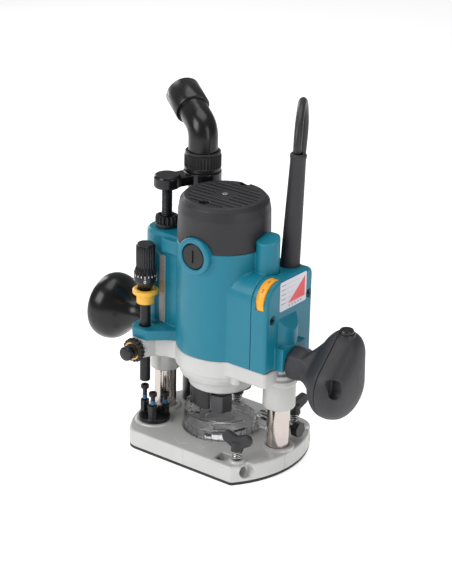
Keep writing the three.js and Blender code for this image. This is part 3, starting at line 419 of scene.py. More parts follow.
def moulded(node, voxel=0.8, soft=2, rounds=(), cuts=(), material=None, keep=0.5, source=None,
            name=None):
    """A CAD piece as it comes from its mould: edges and inner corners get a small radius."""
    shell = source or bmesh.new()
    if source is None:
        shell.from_mesh(NODES[node].data)
    bmesh.ops.remove_doubles(shell, verts=shell.verts, dist=1e-6)
    mesh = bpy.data.meshes.new(node)
    shell.to_mesh(mesh)
    shell.free()
    piece = link(name or node + "_moulding", mesh)
    cutters = []
    for i, cut in enumerate(cuts):
        cutter = to_mesh(f"cutter_{i}", cut, material or CAST)
        modifier = piece.modifiers.new("cut", "BOOLEAN")
        modifier.object = cutter
        modifier.solver = "EXACT"
        cutters.append(cutter)
    remesh = piece.modifiers.new("skin", "REMESH")
    remesh.mode = "VOXEL"
    remesh.voxel_size = voxel * MM
    applied(piece)
    for cutter in cutters:
        bpy.data.objects.remove(cutter)
    shell = bmesh.new()
    shell.from_mesh(piece.data)
    rounded(shell, rounds)
    shell.to_mesh(piece.data)
    shell.free()
    if soft:
        smooth = piece.modifiers.new("soft", "SMOOTH")
        smooth.factor = 0.5
        smooth.iterations = soft
    if keep < 1:
        thin = piece.modifiers.new("thin", "DECIMATE")
        thin.ratio = keep
    applied(piece)
    for face in piece.data.polygons:
        face.use_smooth = True
    piece.data.materials.clear()
    piece.data.materials.append(material or CAD_FINISH[SLOT_OF[node]])
    return settle(piece, BODY_OF[node], stands_for=[node])


def crisp(node, bevel=0.35, material=None, sharp=SHARP):
    """A CAD piece with smooth round walls and small bevels on its edges."""
    shell = bmesh.new()
    shell.from_mesh(NODES[node].data)
    bmesh.ops.remove_doubles(shell, verts=shell.verts, dist=1e-6)
    bmesh.ops.dissolve_limit(shell, angle_limit=math.radians(0.5), verts=shell.verts,
                             edges=shell.edges)
    piece = to_mesh(node + "_detail", shell, material or CAD_FINISH[SLOT_OF[node]], sharp)
    if bevel:
        bevelled(piece, bevel)
        for face in piece.data.polygons:
            face.use_smooth = True
    return settle(piece, BODY_OF[node], stands_for=[node])


def smooth_line(points, step):
    """Points a step apart on a smooth curve through the given points."""
    points = [Vector(p) for p in points]
    line = []
    for i in range(len(points) - 1):
        before = points[i - 1] if i else points[0] * 2 - points[1]
        start, end = points[i], points[i + 1]
        after = points[i + 2] if i + 2 < len(points) else end * 2 - start
        pieces = max(1, round((end - start).length / step))
        for k in range(pieces):
            t = k / pieces
            line.append(0.5 * ((2 * start) + (end - before) * t
                               + (2 * before - 5 * start + 4 * end - after) * t * t
                               + (3 * start - before - 3 * end + after) * t ** 3))
    return line + [points[-1]]


# ---------- mains cord ----------
CORD_R = 4
COIL = Vector((-121.9, 177.4, 0))
# Out of the guard, over behind the body, down behind it and along the floor.
CORD_ROUTE = [
    (61.6, 27, 308), (61.7, 27, 316), (59.5, 30.9, 327), (54.6, 39.4, 337.5),
    (48, 50.8, 344), (41, 62.7, 344.5), (34.5, 73.9, 338), (29.8, 82, 326.5),
    (27.4, 86.2, 312), (25, 87.5, 288), (20.5, 87, 240), (16, 86, 190), (12, 84.5, 140),
    (9, 83, 90), (7.6, 82.5, 60), (6.2, 84, 40), (1.5, 89.8, 20.5), (-6.3, 99.8, 8.2),
    (-16, 113, 4.2), (-26.5, 130.5, 4.2), (-38, 150, 4.2), (-50, 170.4, 4.2),
]
LAYER = 8.5  # from one layer of turns to the next, and from one turn to the next


def coil_turns():
    """Turns round the coil: inwards on the floor, outwards on those, and part of one on top."""
    outer, inner = 56.0, 37.0
    stages = [  # (turns, radius at the end, layer at the end)
        ((outer - inner) / LAYER, inner, 0), (0.3, inner, 1), (2.0, inner + 2.0 * LAYER, 1),
        (0.3, inner + 2.0 * LAYER, 2), (1.54, inner + 0.46 * LAYER, 2),
    ]
    angle, radius, layer = math.radians(30), outer, 0
    points = []
    for turns, radius_end, layer_end in stages:
        count = max(3, round(turns * 24))
        for i in range(count):
            share = i / count
            ease = share * share * (3 - 2 * share)
            r = radius + (radius_end - radius) * share
            z = CORD_R + 0.2 + LAYER * (layer + (layer_end - layer) * ease)
            a = angle + 2 * math.pi * turns * share
            points.append((COIL.x + r * math.cos(a), COIL.y + r * math.sin(a), z))
        angle += 2 * math.pi * turns
        radius, layer = radius_end, layer_end
    return points, angle, radius


PLUG_TURN = 32  # the radius of the last bend, from the coil into the plug
PLUG_LIFT = 22.7  # the plug lies on the coil, so its axis is this much above the top turns


def cord_line():
    """The whole cord: the route, the coil, and the last bend, which rises to the plug."""
    turns, angle, radius = coil_turns()
    rise_from = len(turns) - 8
    centre = COIL + Vector((math.cos(angle), math.sin(angle), 0)) * (radius - PLUG_TURN)
    start, stop = angle % (2 * math.pi), 1.5 * math.pi
    bend = [(centre.x + PLUG_TURN * math.cos(a), centre.y + PLUG_TURN * math.sin(a), turns[-1][2])
            for a in (start + (stop - start) * i / 8 for i in range(9))]
    line = turns + bend
    for i in range(rise_from, len(line)):
        share = (i - rise_from) / (len(line) - 1 - rise_from)
        lift = PLUG_LIFT * share * share * (3 - 2 * share)
        line[i] = (line[i][0], line[i][1], line[i][2] + lift)
    return smooth_line(CORD_ROUTE + line, 3.0)


def add_cord():
    line = cord_line()
    cord = to_mesh("mains_cord", sweep(line, CORD_R, 12), CORD_RUBBER)
    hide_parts("cord_run", "cord_coil")
    tie = to_mesh("cord_tie", tie_band(), SATIN_BLACK)
    settle(tie, "base", "black_plastic")
    plug = add_plug(line[-1])
    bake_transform(cord)


def tie_band():
    """A hook-and-loop band round the coil's turns, on the side away from the machine."""
    heading = math.radians(100)
    away = Vector((math.cos(heading), math.sin(heading), 0))
    across = away.cross(Z_AXIS)
    low_r, high_r, low_z, high_z, thick, half = 32.6, 62.6, 0.0, 26.0, 0.7, 6
    corners = [(low_r, low_z), (high_r, low_z), (high_r, high_z), (low_r, high_z)]
    inner = [(low_r + thick, low_z + thick), (high_r - thick, low_z + thick),
             (high_r - thick, high_z - thick), (low_r + thick, high_z - thick)]
    shell = bmesh.new()
    loops = []
    for outline in (corners, inner):
        for side in (-half, half):
            loops.append([shell.verts.new(place(*(COIL + away * r + across * side
                                                  + Z_AXIS * z))) for r, z in outline])
    outer_a, outer_b, inner_a, inner_b = loops
    for i in range(4):
        j = (i + 1) % 4
        shell.faces.new((outer_a[i], outer_a[j], outer_b[j], outer_b[i]))
        shell.faces.new((inner_a[j], inner_a[i], inner_b[i], inner_b[j]))
        shell.faces.new((outer_a[j], outer_a[i], inner_a[i], inner_a[j]))
        shell.faces.new((outer_b[i], outer_b[j], inner_b[j], inner_b[i]))
    bmesh.ops.bevel(shell, geom=shell.edges[:], offset=0.3 * MM, segments=2, affect="EDGES")
    return shell


def add_plug(back):
    """A round two-pin plug with a ribbed sleeve behind it."""
    body = [(0, 0), (4.6, 0), (5.0, 1), (5.6, 8), (6.6, 14), (10.5, 20), (15, 26), (17.8, 31),
            (18.5, 34), (18.5, 44.5), (17.6, 46), (0, 46)]
    shell = lathe(body, back, X_AXIS, 48)
    for i in range(4):
        foot = 2 + 3 * i
        lathe([(4, foot), (6.4, foot + 0.2), (6.4, foot + 1.4), (4, foot + 1.6)],
              back, X_AXIS, 32, into=shell)
    piece = to_mesh("mains_plug", shell, GLOSS_BLACK)
    settle(piece, "base", stands_for=["cord_plug"])
    pins = bmesh.new()
    for side in (-9.5, 9.5):
        foot = back + Y_AXIS * side
        lathe([(0, 45), (2.4, 45), (2.4, 62), (1.6, 64.4), (0, 65)], foot, X_AXIS, 20, into=pins)
    settle(to_mesh("plug_pins", pins, BRIGHT), "base", "bright_steel")
    return piece


add_cord()


# ---------- castings and mouldings ----------
def radius_by_height(points):
    """A radius that changes in straight steps between the given heights."""
    def radius(height):
        for (low, r0), (high, r1) in zip(points, points[1:]):
            if low <= height <= high:
                return r0 + (r1 - r0) * (height - low) / (high - low)
        return 0.0
    return radius


CAP_SHAPE = radius_by_height([(216, 44.5), (247, 43.8), (256, 42.2), (260, 38.5)])
COVER_SCREWS = [(COVER_FACE, -22.6, 160.0), (COVER_FACE, 33.9, 170)]
CAP_HOLES = [(-2.4, -28.5, 260), (-3.6, 35.2, 260)]


def add_castings():
    moulded("base_casting", 0.7, 2, material=CAST, rounds=[
        ("z", -POST_X, 0, 15.8, 24), ("z", POST_X, 0, 15.8, 24), ("z", TURRET.x, TURRET.y, 18, 24),
        ("z", 0, 0, 34.5, 24), ("z", 0, 0, 20, 24)]
        + [("z", spot.x, spot.y, 7.5, 12) for spot in WINGS.values()])
    moulded("bracket_casting", 0.7, 2, material=CAST, rounds=[
        ("z", 0, 0, MOTOR_R, 36), ("z", 0, 0, 31.5, 32), ("z", 0, 0, 42, 32),
        ("z", -POST_X, 0, 18.8, 32), ("z", -POST_X, 0, 14.6, 24), ("z", POST_X, 0, 15.7, 24),
        ("z", POST_X, 0, 15.6, 24), ("z", POST_X, 0, 17, 24), ("z", 36, -24, 5.4, 14),
        ("y", POLE.x, 97, 8, 16)])
    moulded("motor_housing", 0.8, 2, rounds=[
        ("z", 0, 0, MOTOR_R, 40), ("z", -POST_X, 0, 18.8, 32), ("z", -POST_X, 0, 17.3, 32),
        ("z", 51.5, 0, 11.3, 20), ("y", 0, BRUSH_Z, 18, 28), ("y", 0, BRUSH_Z, 16.8, 28)])
    moulded("switch_cover", 0.7, 2, rounds=[("z", POST_X, 0, 15.6, 24)],
            cuts=[lathe([(0, -2.6), (4.3, -2.6), (4.3, 2), (0, 2)], spot, X_AXIS, 24)
                  for spot in COVER_SCREWS])
    moulded("motor_cap", 0.6, 2, rounds=[
        ("z", 0, 0, CAP_SHAPE, 40), ("z", 51.5, 0, 11.6, 20), ("y", 0, BRUSH_Z, 18.3, 28)],
        cuts=[lathe([(0, -12), (5, -12), (5, 2), (0, 2)], spot, Z_AXIS, 24)
              for spot in CAP_HOLES])
    moulded("dust_nozzle", 0.45, 1, material=CLEAR, keep=0.6, rounds=[
        ("z", 0, 0, 36, 30), ("z", 0, 0, 34.2, 30), ("z", 0, 0, 37.5, 30), ("z", 0, 0, 13.8, 24)])
    moulded("dust_arm", 0.6, 2, material=GLOSS_BLACK, rounds=[("z", -POST_X, 0, 13, 24)])
    moulded("stop_turret", 0.4, 2, material=GLOSS_BLACK,
            rounds=[("z", TURRET.x, TURRET.y, 15.6, 24)])
    moulded("shaft_lock", 0.45, 2, material=SATIN_BLACK)
    for node in ("front_wing_bolt", "rear_right_wing_bolt", "rear_left_wing_bolt"):
        moulded(node, 0.45, 3, material=CHARCOAL)


def add_turned_cad_pieces():
    finishes = {
        "turret_screw": BRIGHT,
        "depth_pointer": YELLOW, "front_brush_cap": SATIN_BLACK, "rear_brush_cap": SATIN_BLACK,
        "cord_guard": DARK_RUBBER, "stop_pole": BLUED, "switch_trigger": SATIN_BLACK,
        "plunge_lock_lever": CHARCOAL, "nozzle_thumb_screw": SATIN_BLACK, "sole_plate": SATIN_BLACK,
        "collet_nut": COLLET_STEEL, "collet_cone": BRIGHT, "cap_screw": BRIGHT,
        "dust_pipe": GLOSS_BLACK,
    }
    for node, material in finishes.items():
        crisp(node, 0.3, material)


# ---------- handles ----------
def handle_ring(x, scale, count=72):
    """The handle seen along X: a large lower circle and a smaller one leaning back above it."""
    low_y, low_z, low_r = -2, 103.5, 31.5
    high_y, high_z, high_r = 12, 139.5, 16
    heart_y, heart_z = 2, 113
    lean = math.atan2(high_z - low_z, high_y - low_y)
    turn = math.acos((low_r - high_r) / math.hypot(high_z - low_z, high_y - low_y))
    ring = []
    for i in range(count):
        angle = lean + 2 * math.pi * i / count
        off = abs(math.atan2(math.sin(angle - lean), math.cos(angle - lean)))
        y, z, r = (high_y, high_z, high_r) if off < turn else (low_y, low_z, low_r)
        y += r * math.cos(angle)
        z += r * math.sin(angle)
        ring.append(Vector((x, heart_y + (y - heart_y) * scale, heart_z + (z - heart_z) * scale)))
    return ring


def neck_ring(x, radius, count=72):
    """The eight-sided neck, with its corners rounded off."""
    lean = math.atan2(36, 14)
    ring = []
    for i in range(count):
        angle = lean + 2 * math.pi * i / count
        across = (angle % (math.pi / 4)) - math.pi / 8
        r = min(radius * math.cos(math.pi / 8) / math.cos(across), radius * 0.975)
        ring.append(Vector((x, r * math.cos(angle), HANDLE_Z + r * math.sin(angle))))
    return ring


def loft(keys, between=5):
    """A closed skin on a smooth run of rings through the key rings."""
    rings = []
    for i in range(len(keys) - 1):
        before = keys[max(i - 1, 0)]
        after = keys[min(i + 2, len(keys) - 1)]
        for k in range(between):
            t = k / between
            rings.append([0.5 * ((2 * b) + (c - a) * t + (2 * a - 5 * b + 4 * c - d) * t * t
                                 + (3 * b - a - 3 * c + d) * t ** 3)
                          for a, b, c, d in zip(before, keys[i], keys[i + 1], after)])
    rings.append(keys[-1])
    shell = bmesh.new()
    made = [[shell.verts.new(place(*point)) for point in ring] for ring in rings]
    count = len(made[0])
    for lower, upper in zip(made, made[1:]):
        for i in range(count):
            j = (i + 1) % count
            shell.faces.new((lower[i], lower[j], upper[j], upper[i]))
    shell.faces.new(made[0][::-1])
    shell.faces.new(made[-1])
    bmesh.ops.recalc_face_normals(shell, faces=shell.faces)
    return shell


def stadium(reach, radius, count=16):
    """A long round-ended outline."""
    corners = []
    for side in (1, -1):
        for i in range(count + 1):
            angle = math.pi * i / count - math.pi / 2 + (0 if side > 0 else math.pi)
            corners.append((side * reach + radius * math.cos(angle), radius * math.sin(angle)))
    return corners


LOCK_BUTTON = (137.5, 8.5)
HANDLE_RECESS = (141, -24, 112.2)
HANDLE_SCREW = (141.6, -27.4, 112.6)


def add_handles():
    def trigger_room():
        return slab((112, 12.5, 94.5), (143, 60, 121.5))

    moulded("right_handle", 0.7, 2, material=HANDLE, cuts=[trigger_room()], source=loft([
        neck_ring(85.7, 15.8), neck_ring(86.6, 16.8), neck_ring(95, 16.7), neck_ring(103, 16.3),
        handle_ring(113, 0.60), handle_ring(120, 0.83), handle_ring(126, 0.955),
        handle_ring(131.3, 1.0)]))
    lock_hole = lathe([(0, 135), (7.2, 135), (7.2, 175), (0, 175)], (*LOCK_BUTTON, 0), Z_AXIS, 32)
    recess = bmesh.new()
    prism(stadium(3.4, 5.8), 0, 26, HANDLE_RECESS, X_AXIS, into=recess)
    moulded("handle_cover", 0.7, 2, material=HANDLE, source=loft([
        handle_ring(131.75, 1.0), handle_ring(136, 1.0), handle_ring(141, 0.975),
        handle_ring(146, 0.915), handle_ring(150.5, 0.77), handle_ring(153.5, 0.50),
        handle_ring(154.6, 0.18)]), cuts=[trigger_room(), lock_hole, recess])
    collar = lathe([(7.2, 147), (8.4, 147), (8.4, 154), (7.9, 155), (7.2, 155), (7.2, 147)],
                   (*LOCK_BUTTON, 0), Z_AXIS, 40)
    settle(to_mesh("lock_button_collar", collar, SATIN_BLACK), "motor_body", "black_plastic")
    button = lathe([(0, 141), (6.9, 141), (6.9, 156.4), (6.9, 157.6), (6.2, 158.7), (4.6, 159),
                    (4.2, 158.6), (0, 158.5)], (*LOCK_BUTTON, 0), Z_AXIS, 40)
    settle(to_mesh("lock_button_detail", button, GLOSS_BLACK), "trigger_lock",
           stands_for=["lock_button"])
    knob_line = smooth_line([(13.4, 88.9, 0), (14, 90.5, 0), (14.4, 103, 0), (19, 112, 0),
                             (26, 120, 0), (31.4, 127, 0), (33.5, 134.5, 0), (33, 141, 0),
                             (30, 146, 0), (21, 150.2, 0), (8, 151.8, 0), (0, 152, 0)], 1.5)
    knob = lathe([(0, 88.9), *[(max(p.x, 0), p.y) for p in knob_line]], (0, 0, 109), -X_AXIS, 96)
    settle(to_mesh("left_knob_detail", knob, GLOSS_BLACK), "motor_body", stands_for=["left_knob"])


# ---------- dust pipe ----------
OUTLET = Vector((-0.82, 0.45, 0.36)).normalized()
ELBOW_Z = 304.5


def add_dust_pieces():
    corner = Vector((PIPE.x, PIPE.y, ELBOW_Z))
    bend = 11.5
    low, high = corner - Z_AXIS * bend, corner + OUTLET * bend
    line = [corner.xy.to_3d() + Z_AXIS * z for z in (263.6, 272, 282)]
    for i in range(17):
        t = i / 16
        line.append(low * (1 - t) ** 2 + corner * 2 * t * (1 - t) + high * t * t)
    line.append(corner + OUTLET * 26)
    shell = sweep(line, 14.4, 56)
    cuff = [(0, 22), (14.2, 22), (14.6, 27.4), (16.9, 28.0), (17.3, 28.8), (17.3, 55.7),
            (16.9, 56.4), (15.8, 56.4), (15.3, 55.8), (15.3, 33), (12.2, 31.6), (12.2, 29),
            (0, 29)]
    lathe(cuff, corner, OUTLET, 72, into=shell)
    settle(to_mesh("dust_elbow_detail", shell, GLOSS_BLACK), "elbow", stands_for=["dust_elbow"])

    nut = [(14.8, 262.7), (17.2, 262.7), (17.9, 263.4), (17.9, 266, 0), (18, 266.4, 0),
           (18, 267.2, 1), (18, 276.6, 1), (17.8, 278.4, 1), (17.4, 279), (16.9, 279.4),
           (17.3, 280), (17.2, 281.6), (16.8, 282), (14.8, 282), (14.8, 262.7)]
    settle(to_mesh("coupling_nut_detail", lathe(nut, (PIPE.x, PIPE.y, 0), Z_AXIS, 36 * 8, ribs=36,
                                                depth=1.0), SATIN_BLACK),
           "coupling_nut", stands_for=["dust_coupling_nut"])


# ---------- threads and springs ----------
def threaded_bar(origin, radius, low, high, pitch=2.0, depth=0.7, steps=24):
    """A bar with a real thread: its radius rises and falls along a helix."""
    shell = bmesh.new()
    rows = int((high - low) / pitch * 6)
    rings = []
    for row in range(rows + 1):
        z = low + (high - low) * row / rows
        ring = []
        for i in range(steps):
            share = (z / pitch - i / steps) % 1
            r = (radius - depth * abs(2 * share - 1)) * MM
            angle = 2 * math.pi * i / steps
            ring.append(shell.verts.new(place(origin[0], origin[1], z)
                                        + Vector((r * math.cos(angle), r * math.sin(angle), 0))))
        rings.append(ring)
    for lower, upper in zip(rings, rings[1:]):
        for i in range(steps):
            j = (i + 1) % steps
            shell.faces.new((lower[i], lower[j], upper[j], upper[i]))
    shell.faces.new(rings[0][::-1])
    shell.faces.new(rings[-1])
    return shell


SPRING_LOW, SPRING_HIGH = 7.3, 142.7


def add_posts():
    """The two ground posts: bored from the top, with a small bevel at each end."""
    post = [(0, 4), (10.6, 4), (11, 4.4), (11, 105.5), (10.5, 106), (8, 106), (8, 7), (0, 7)]
    for side, name in ((-1, "left_post"), (1, "right_post")):
        settle(to_mesh(f"{name}_detail", lathe(post, (side * POST_X, 0, 0), Z_AXIS, 64),
                       POST_STEEL), "base", stands_for=[name])


def add_threads_and_springs():
    rod = threaded_bar((-POST_X, 0), 5.4, 151, 257.5)
    lathe([(0, 7.3), (4.8, 7.3), (4.8, 151.5), (0, 151.5)], (-POST_X, 0, 0), Z_AXIS, 24, into=rod)
    settle(to_mesh("threaded_rod_detail", rod, BLUED, math.radians(80)), "base",
           stands_for=["threaded_rod"])
    nut = [(5.6, 211.6), (10.6, 211.6), (11.2, 212.2), (11.2, 215.4), (11.2, 215.8, 1),
           (11.2, 221, 1), (10.4, 222.6, 1), (9, 222.7, 1), (7.6, 222.7), (7.2, 221),
           (5.6, 221), (5.6, 211.6)]
    settle(to_mesh("limit_nut_detail", lathe(nut, (-POST_X, 0, 0), Z_AXIS, 16 * 8, ribs=16,
                                             depth=1.7), SATIN_BLACK),
           "limit_nut", stands_for=["upper_limit_nut"])
    for side, name in ((-1, "left"), (1, "right")):
        line = helix((side * POST_X, 0), 6.5, 0.9, SPRING_LOW, SPRING_HIGH, 16)
        spring = to_mesh(f"{name}_plunge_spring_detail", sweep(line, 0.8, 8), BRIGHT)
        settle(spring, "base", stands_for=[f"{name}_plunge_spring"])
        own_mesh(spring)
    for body, spot in WINGS.items():
        line = helix((spot.x, spot.y), 4.5, 0.45, 21.7, 30.6, 4, 20)
        settle(to_mesh(f"{body}_spring", sweep(line, 0.45, 8), BRIGHT), "base", "ground_steel")


# ---------- depth stop ----------
def print_text(name, text, height, origin, right, up, lift=0.08):
    """A number as a thin raised print: centred on origin, reading along right."""
    curve = bpy.data.curves.new(name, "FONT")
    curve.body = text
    curve.size = height * MM
    curve.extrude = lift * MM / 2
    curve.align_x, curve.align_y = "CENTER", "CENTER"
    drawn = link(name + "_curve", curve)
    mesh = bpy.data.meshes.new_from_object(
        drawn.evaluated_get(bpy.context.evaluated_depsgraph_get()))
    bpy.data.objects.remove(drawn)
    right, up = Vector(right).normalized(), Vector(up).normalized()
    turn = Matrix((right, up, right.cross(up))).transposed().to_4x4()
    mesh.transform(Matrix.Translation(place(*origin)) @ turn)
    shell = bmesh.new()
    shell.from_mesh(mesh)
    return shell


def merged(shells):
    """Several shells as one."""
    whole = bmesh.new()
    for shell in shells:
        mesh = bpy.data.meshes.new("part")
        shell.to_mesh(mesh)
        whole.from_mesh(mesh)
        bpy.data.meshes.remove(mesh)
        shell.free()
    return whole


def add_stop_knob():
    grip = [(5.7, 158), (6.6, 158), (10.2, 163), (11.3, 165.6), (11.4, 166.4), (11.4, 173),
            (11.1, 174.2, 0.4), (9.6, 178.4, 1), (9.1, 180, 1), (9.3, 190, 1), (9.2, 200.6, 1),
            (8.7, 201.6, 1), (8.1, 201.9), (8.1, 202.6), (7.7, 203), (0, 203)]
    settle(to_mesh("stop_knob_detail", lathe(grip, (POLE.x, POLE.y, 0), Z_AXIS, 24 * 8, ribs=24,
                                             depth=0.6), GLOSS_BLACK),
           "stop_rod_knob", stands_for=["stop_pole_knob"])
    ticks, numbers = [], []
    for i in range(20):
        angle = math.radians(-53 + 18 * i)
        out = Vector((math.cos(angle), math.sin(angle), 0))
        side = Vector((-out.y, out.x, 0))
        foot = 170.9 if i % 4 else 169.8
        middle = Vector((POLE.x, POLE.y, 0)) + out * 11.4
        corners = [middle + side * w + Z_AXIS * z for w, z in
                   ((-0.3, foot), (0.3, foot), (0.3, 173), (-0.3, 173))]
        tick = bmesh.new()
        near = [tick.verts.new(place(*(c - out * 0.1))) for c in corners]
        far = [tick.verts.new(place(*(c + out * 0.08))) for c in corners]
        tick.faces.new(far)
        for a in range(4):
            b = (a + 1) % 4
            tick.faces.new((near[a], near[b], far[b], far[a]))
        ticks.append(tick)
        if i % 4 == 0:
            spot = Vector((POLE.x, POLE.y, 167)) + out * 11.42
            numbers.append(print_text("number", str((20 - i) // 4 % 5 * 2), 4.6, spot, side,
                                      Z_AXIS))
    settle(to_mesh("stop_knob_marks", merged(ticks + numbers), WHITE_PRINT), "stop_rod_knob",
           "black_plastic")


def add_stop_bolts():
    for i, (pillar, head) in enumerate(((38, 54.2), (40, 54.2), (34, 47)), start=1):
        low, high = (Vector(p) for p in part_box(f"stop_bolt_{i}"))
        spot = ((low + high) / 2 - SPINDLE) / MM
        spot.z = 0
        shape = [(0, 31), (1.8, 31), (2.2, 31.6), (2.2, head - 4), (3.6, head - 4),
                 (4, head - 3.7, 1), (4, head - 0.7, 1), (3.6, head, 1), (2.2, head),
                 (2.0, head - 0.4), (2.0, head - 2.4), (0, head - 2.6)]
        bolt = lathe(shape, spot, Z_AXIS, 96, ribs=24, depth=0.25)
        settle(to_mesh(f"stop_bolt_{i}_detail", bolt, BLUED), f"turret_bolt_{i}",
               stands_for=[f"stop_bolt_{i}"])
        patch = lathe([(2.1, pillar + 1), (2.36, pillar + 1.3), (2.36, pillar + 5),
                       (2.1, pillar + 5.3)], spot, Z_AXIS, 32)
        settle(to_mesh(f"stop_bolt_{i}_patch", patch, BLUE_PATCH), f"turret_bolt_{i}",
               "blued_steel")


def add_setting_nut():
    seat_y = (POLE.x, POLE.y, 97)
    nut = [(4.2, 13), (10.6, 13, 1), (12.1, 14.2, 1), (12.1, 18.8, 1), (11.2, 20, 1), (9.8, 20.2),
           (9.6, 19.8), (7.1, 19.8), (7.0, 21.4), (6.6, 21.8), (4.2, 21.8), (4.2, 13)]
    settle(to_mesh("setting_nut_detail", lathe(nut, seat_y, -Y_AXIS, 18 * 10, ribs=18, depth=1.3),
                   SATIN_BLACK), "setting_ring", stands_for=["setting_nut"])
    ring = lathe([(7.4, 19.7), (7.5, 20.6), (8.9, 20.6), (9.1, 19.7)], seat_y, -Y_AXIS, 64)
    settle(to_mesh("setting_nut_ring", ring, BRASS), "setting_ring", "bright_steel")
    button = [(0, 14.5), (3.6, 14.5), (3.6, 26), (6.7, 26), (7.2, 26.5), (7.2, 29.5),
              (6.7, 30.5), (5.6, 31), (0, 31)]
    settle(to_mesh("feed_button_detail", lathe(button, seat_y, -Y_AXIS, 56), GLOSS_BLACK),
           "feed_button", stands_for=["fast_feed_button"])


SCALE_BAND = (150, 162)  # foot and top of the tan band on the depth scale
SCALE_TICKS, TICK_STEP = 33, 2


def add_scale():
    """The depth scale: a grey plate with one tan band and a tick every 2 mm."""
    low, high = (((Vector(p) - SPINDLE) / MM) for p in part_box("scale_plate"))
    face = low.y
    left, right, foot, top = low.x, high.x, low.z, high.z
    plate = slab((left, face, foot), (right, face + 1.5, top))
    band = slab((left + 0.3, face - 0.04, SCALE_BAND[0]), (right - 0.3, face, SCALE_BAND[1]))
    ticks = bmesh.new()
    for row in range(SCALE_TICKS):
        z = foot + 3 + TICK_STEP * row
        reach = 2.8 if row % 5 == 0 else 1.4
        slab((right - 0.4 - reach, face - 0.08, z - 0.12), (right - 0.4, face, z + 0.12), ticks)
    settle(to_mesh("scale_plate_detail", plate, PLATE_GREY), "motor_body",
           stands_for=["scale_plate"])
    settle(to_mesh("scale_band", band, TAN_PRINT), "motor_body", "bright_steel")
    settle(to_mesh("scale_ticks", ticks, BLACK_PRINT), "motor_body", "bright_steel")


# ---------- speed dial, label and screws ----------
def add_dial():
    axle = (0, DIAL.y, DIAL.z)
    wheel = [(3.2, 63.5), (17.4, 63.5, 0), (18.1, 63.9, 1), (18.4, 64.4, 1), (18.4, 66.0, 1),
             (18.4, 66.1, 0), (18.4, 71.4), (17.9, 72), (3.2, 72), (3.2, 63.5)]
    settle(to_mesh("speed_dial_detail", lathe(wheel, axle, X_AXIS, 56 * 6, ribs=56, depth=0.9),
                   ORANGE), "dial", stands_for=["speed_dial"])
    numbers = []
    for i, digit in enumerate("54321"):
        angle = math.radians(140 - 36 * i)
        out = Vector((0, math.cos(angle), math.sin(angle)))
        down = out.cross(X_AXIS)
        numbers.append(print_text("digit", digit, 5.4, Vector((68.6, DIAL.y, DIAL.z))
                                  + out * 18.42, X_AXIS, -down if down.z > 0 else down))
    settle(to_mesh("speed_dial_numbers", merged(numbers), BLACK_PRINT), "dial", "orange_plastic")


def rounded_box(y0, y1, z0, z1, radius, steps=6):
    """The corners of a rectangle in (y, z) with round corners."""
    corners = []
    for y, z, start in ((y1 - radius, z0 + radius, -90), (y1 - radius, z1 - radius, 0),
                        (y0 + radius, z1 - radius, 90), (y0 + radius, z0 + radius, 180)):
        for i in range(steps + 1):
            angle = math.radians(start + 90 * i / steps)
            corners.append((y + radius * math.cos(angle), z + radius * math.sin(angle)))
    return corners


def on_cover(outline, low, high, into=None):
    """A thin flat shape on the cover's outer face, from (y, z) corners."""
    shell = into or bmesh.new()
    layers = [[shell.verts.new(place(COVER_FACE + x, y, z)) for y, z in outline]
              for x in (low, high)]
    count = len(outline)
    for i in range(count):
        j = (i + 1) % count
        shell.faces.new((layers[0][i], layers[0][j], layers[1][j], layers[1][i]))
    shell.faces.new(layers[1])
    return shell


def add_label():
    """A plain chart: a red wedge over grey rules, with no words on it."""
    y0, y1, z0, z1 = -12.8, 28.9, 165.0, 194.4
    sheet = on_cover(rounded_box(y0, y1, z0, z1, 2.0), 0.02, 0.22)
    settle(to_mesh("cover_label", sheet, LABEL), "motor_body", "bright_steel")
    wedge = on_cover([(y0 + 13, z0 + 5.5), (y1 - 2.5, z0 + 5.5), (y1 - 2.5, z1 - 3.5)], 0.2, 0.27)
    settle(to_mesh("label_wedge", wedge, RED_PRINT), "motor_body", "bright_steel")
    rules = bmesh.new()
    for row in range(5):
        z = z0 + 6.5 + 4.6 * row
        on_cover([(y0 + 2, z), (y0 + 9, z), (y0 + 9, z + 1.1), (y0 + 2, z + 1.1)], 0.2, 0.26,
                 rules)
        end = y0 + 14 + 4.2 * row
        on_cover([(y0 + 10, z + 0.4), (end, z + 0.4), (end, z + 0.7), (y0 + 10, z + 0.7)],
                 0.2, 0.26, rules)
    for column in range(5):
        y = y0 + 14 + 4.6 * column
        on_cover([(y, z0 + 1.8), (y + 2, z0 + 1.8), (y + 2, z0 + 3.8), (y, z0 + 3.8)], 0.2, 0.26,
                 rules)
    settle(to_mesh("label_rules", rules, GREY_PRINT), "motor_body", "bright_steel")


def add_screw(name, origin, axis, radius, body, material=BLUED):
    """A pan-head screw with a round recess, seated in its hole."""
    head = lathe([(0, -2), (radius, -2), (radius, -0.7), (radius * 0.86, -0.2),
                  (radius * 0.5, 0), (radius * 0.46, -0.1), (radius * 0.42, -1.2),
                  (0, -1.3)], origin, axis, 48)
    settle(to_mesh(name, head, material), body, "blued_steel")


def add_screws():
    for i, spot in enumerate(COVER_SCREWS, start=1):
        add_screw(f"cover_screw_{i}", Vector(spot) - X_AXIS * 0.9, X_AXIS, 3.5, "motor_body")
    for i, spot in enumerate(CAP_HOLES, start=1):
        add_screw(f"cap_hole_screw_{i}", Vector(spot) - Z_AXIS * 11, Z_AXIS, 4.0, "motor_body")
    add_screw("handle_screw", HANDLE_SCREW, X_AXIS, 3.6, "motor_body", COLLET_STEEL)
    add_screw("bracket_screw", (36, -24, 84.2), -Z_AXIS, 3.4, "motor_body", BRIGHT)


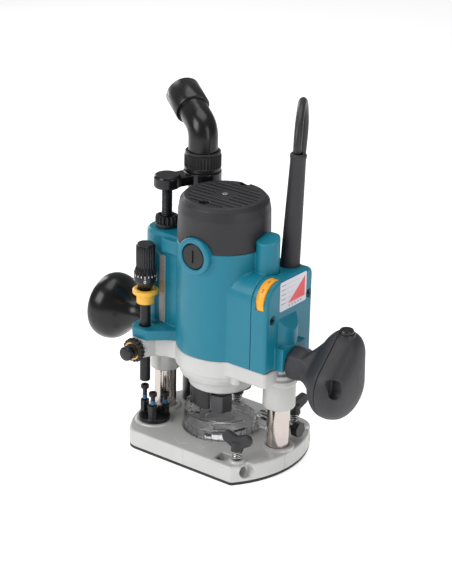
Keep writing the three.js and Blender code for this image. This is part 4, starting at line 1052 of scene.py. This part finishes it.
PARTING_LINES = [(4.9, -64.5), (85.7, -8.9)]


def add_base_marks():
    """Cast-in marks: a V near the front edge and the parting lines of the mould."""
    mark = sweep([(-15, -51.5, 19.5), (-5.5, -56.5, 19.5), (0.5, -51.2, 19.5)], 0.42, 8)
    for x, y in PARTING_LINES:
        sweep([(x, y, 4), (x, y, 18.4)], 0.35, 8, into=mark)
    settle(to_mesh("base_cast_marks", mark, CAST), "base", "cast_alloy")


add_castings()
add_turned_cad_pieces()
add_handles()
add_dust_pieces()
add_posts()
add_threads_and_springs()
add_stop_knob()
add_stop_bolts()
add_setting_nut()
add_scale()
add_dial()
add_label()
add_screws()
add_base_marks()


# ---------- floor and light ----------

def add_stage():
    floor = bmesh.new()
    bmesh.ops.create_grid(floor, x_segments=8, y_segments=8, size=9)
    bmesh.ops.translate(floor, verts=floor.verts, vec=(0, 0, -0.0004))
    material = finish("studio_floor", (0.80, 0.80, 0.80), 0.6, grain=60, bump=0.0, blotch=1.5,
                      vary=0.005, glow=0.62)
    to_mesh("floor", floor, material)
    world = bpy.data.worlds.new("studio")
    world.use_nodes = True
    world.node_tree.nodes["Background"].inputs["Color"].default_value = (1, 1, 1, 1)
    world.node_tree.nodes["Background"].inputs["Strength"].default_value = 0.26
    bpy.context.scene.world = world
    lamps = [  # name, place, power, width, height
        ("key", (-500, -1300, 1100), 14, 0.9, 0.9),
        ("right_fill", (1500, -300, 700), 5.5, 0.5, 1.2),
        ("top", (0, 100, 1500), 8, 1.0, 1.0),
        ("left_rim", (-1300, 500, 600), 7, 0.4, 1.2),
    ]
    for name, spot, power, width, height in lamps:
        light = bpy.data.lights.new(name, "AREA")
        light.shape = "RECTANGLE"
        light.size, light.size_y = width, height
        light.energy = power
        lamp = bpy.data.objects.new(name, light)
        bpy.context.scene.collection.objects.link(lamp)
        eye, target = place(*spot), place(0, 0, 130)
        lamp.matrix_world = (Matrix.Translation(eye)
                             @ (target - eye).to_track_quat("-Z", "Y").to_matrix().to_4x4())


add_stage()
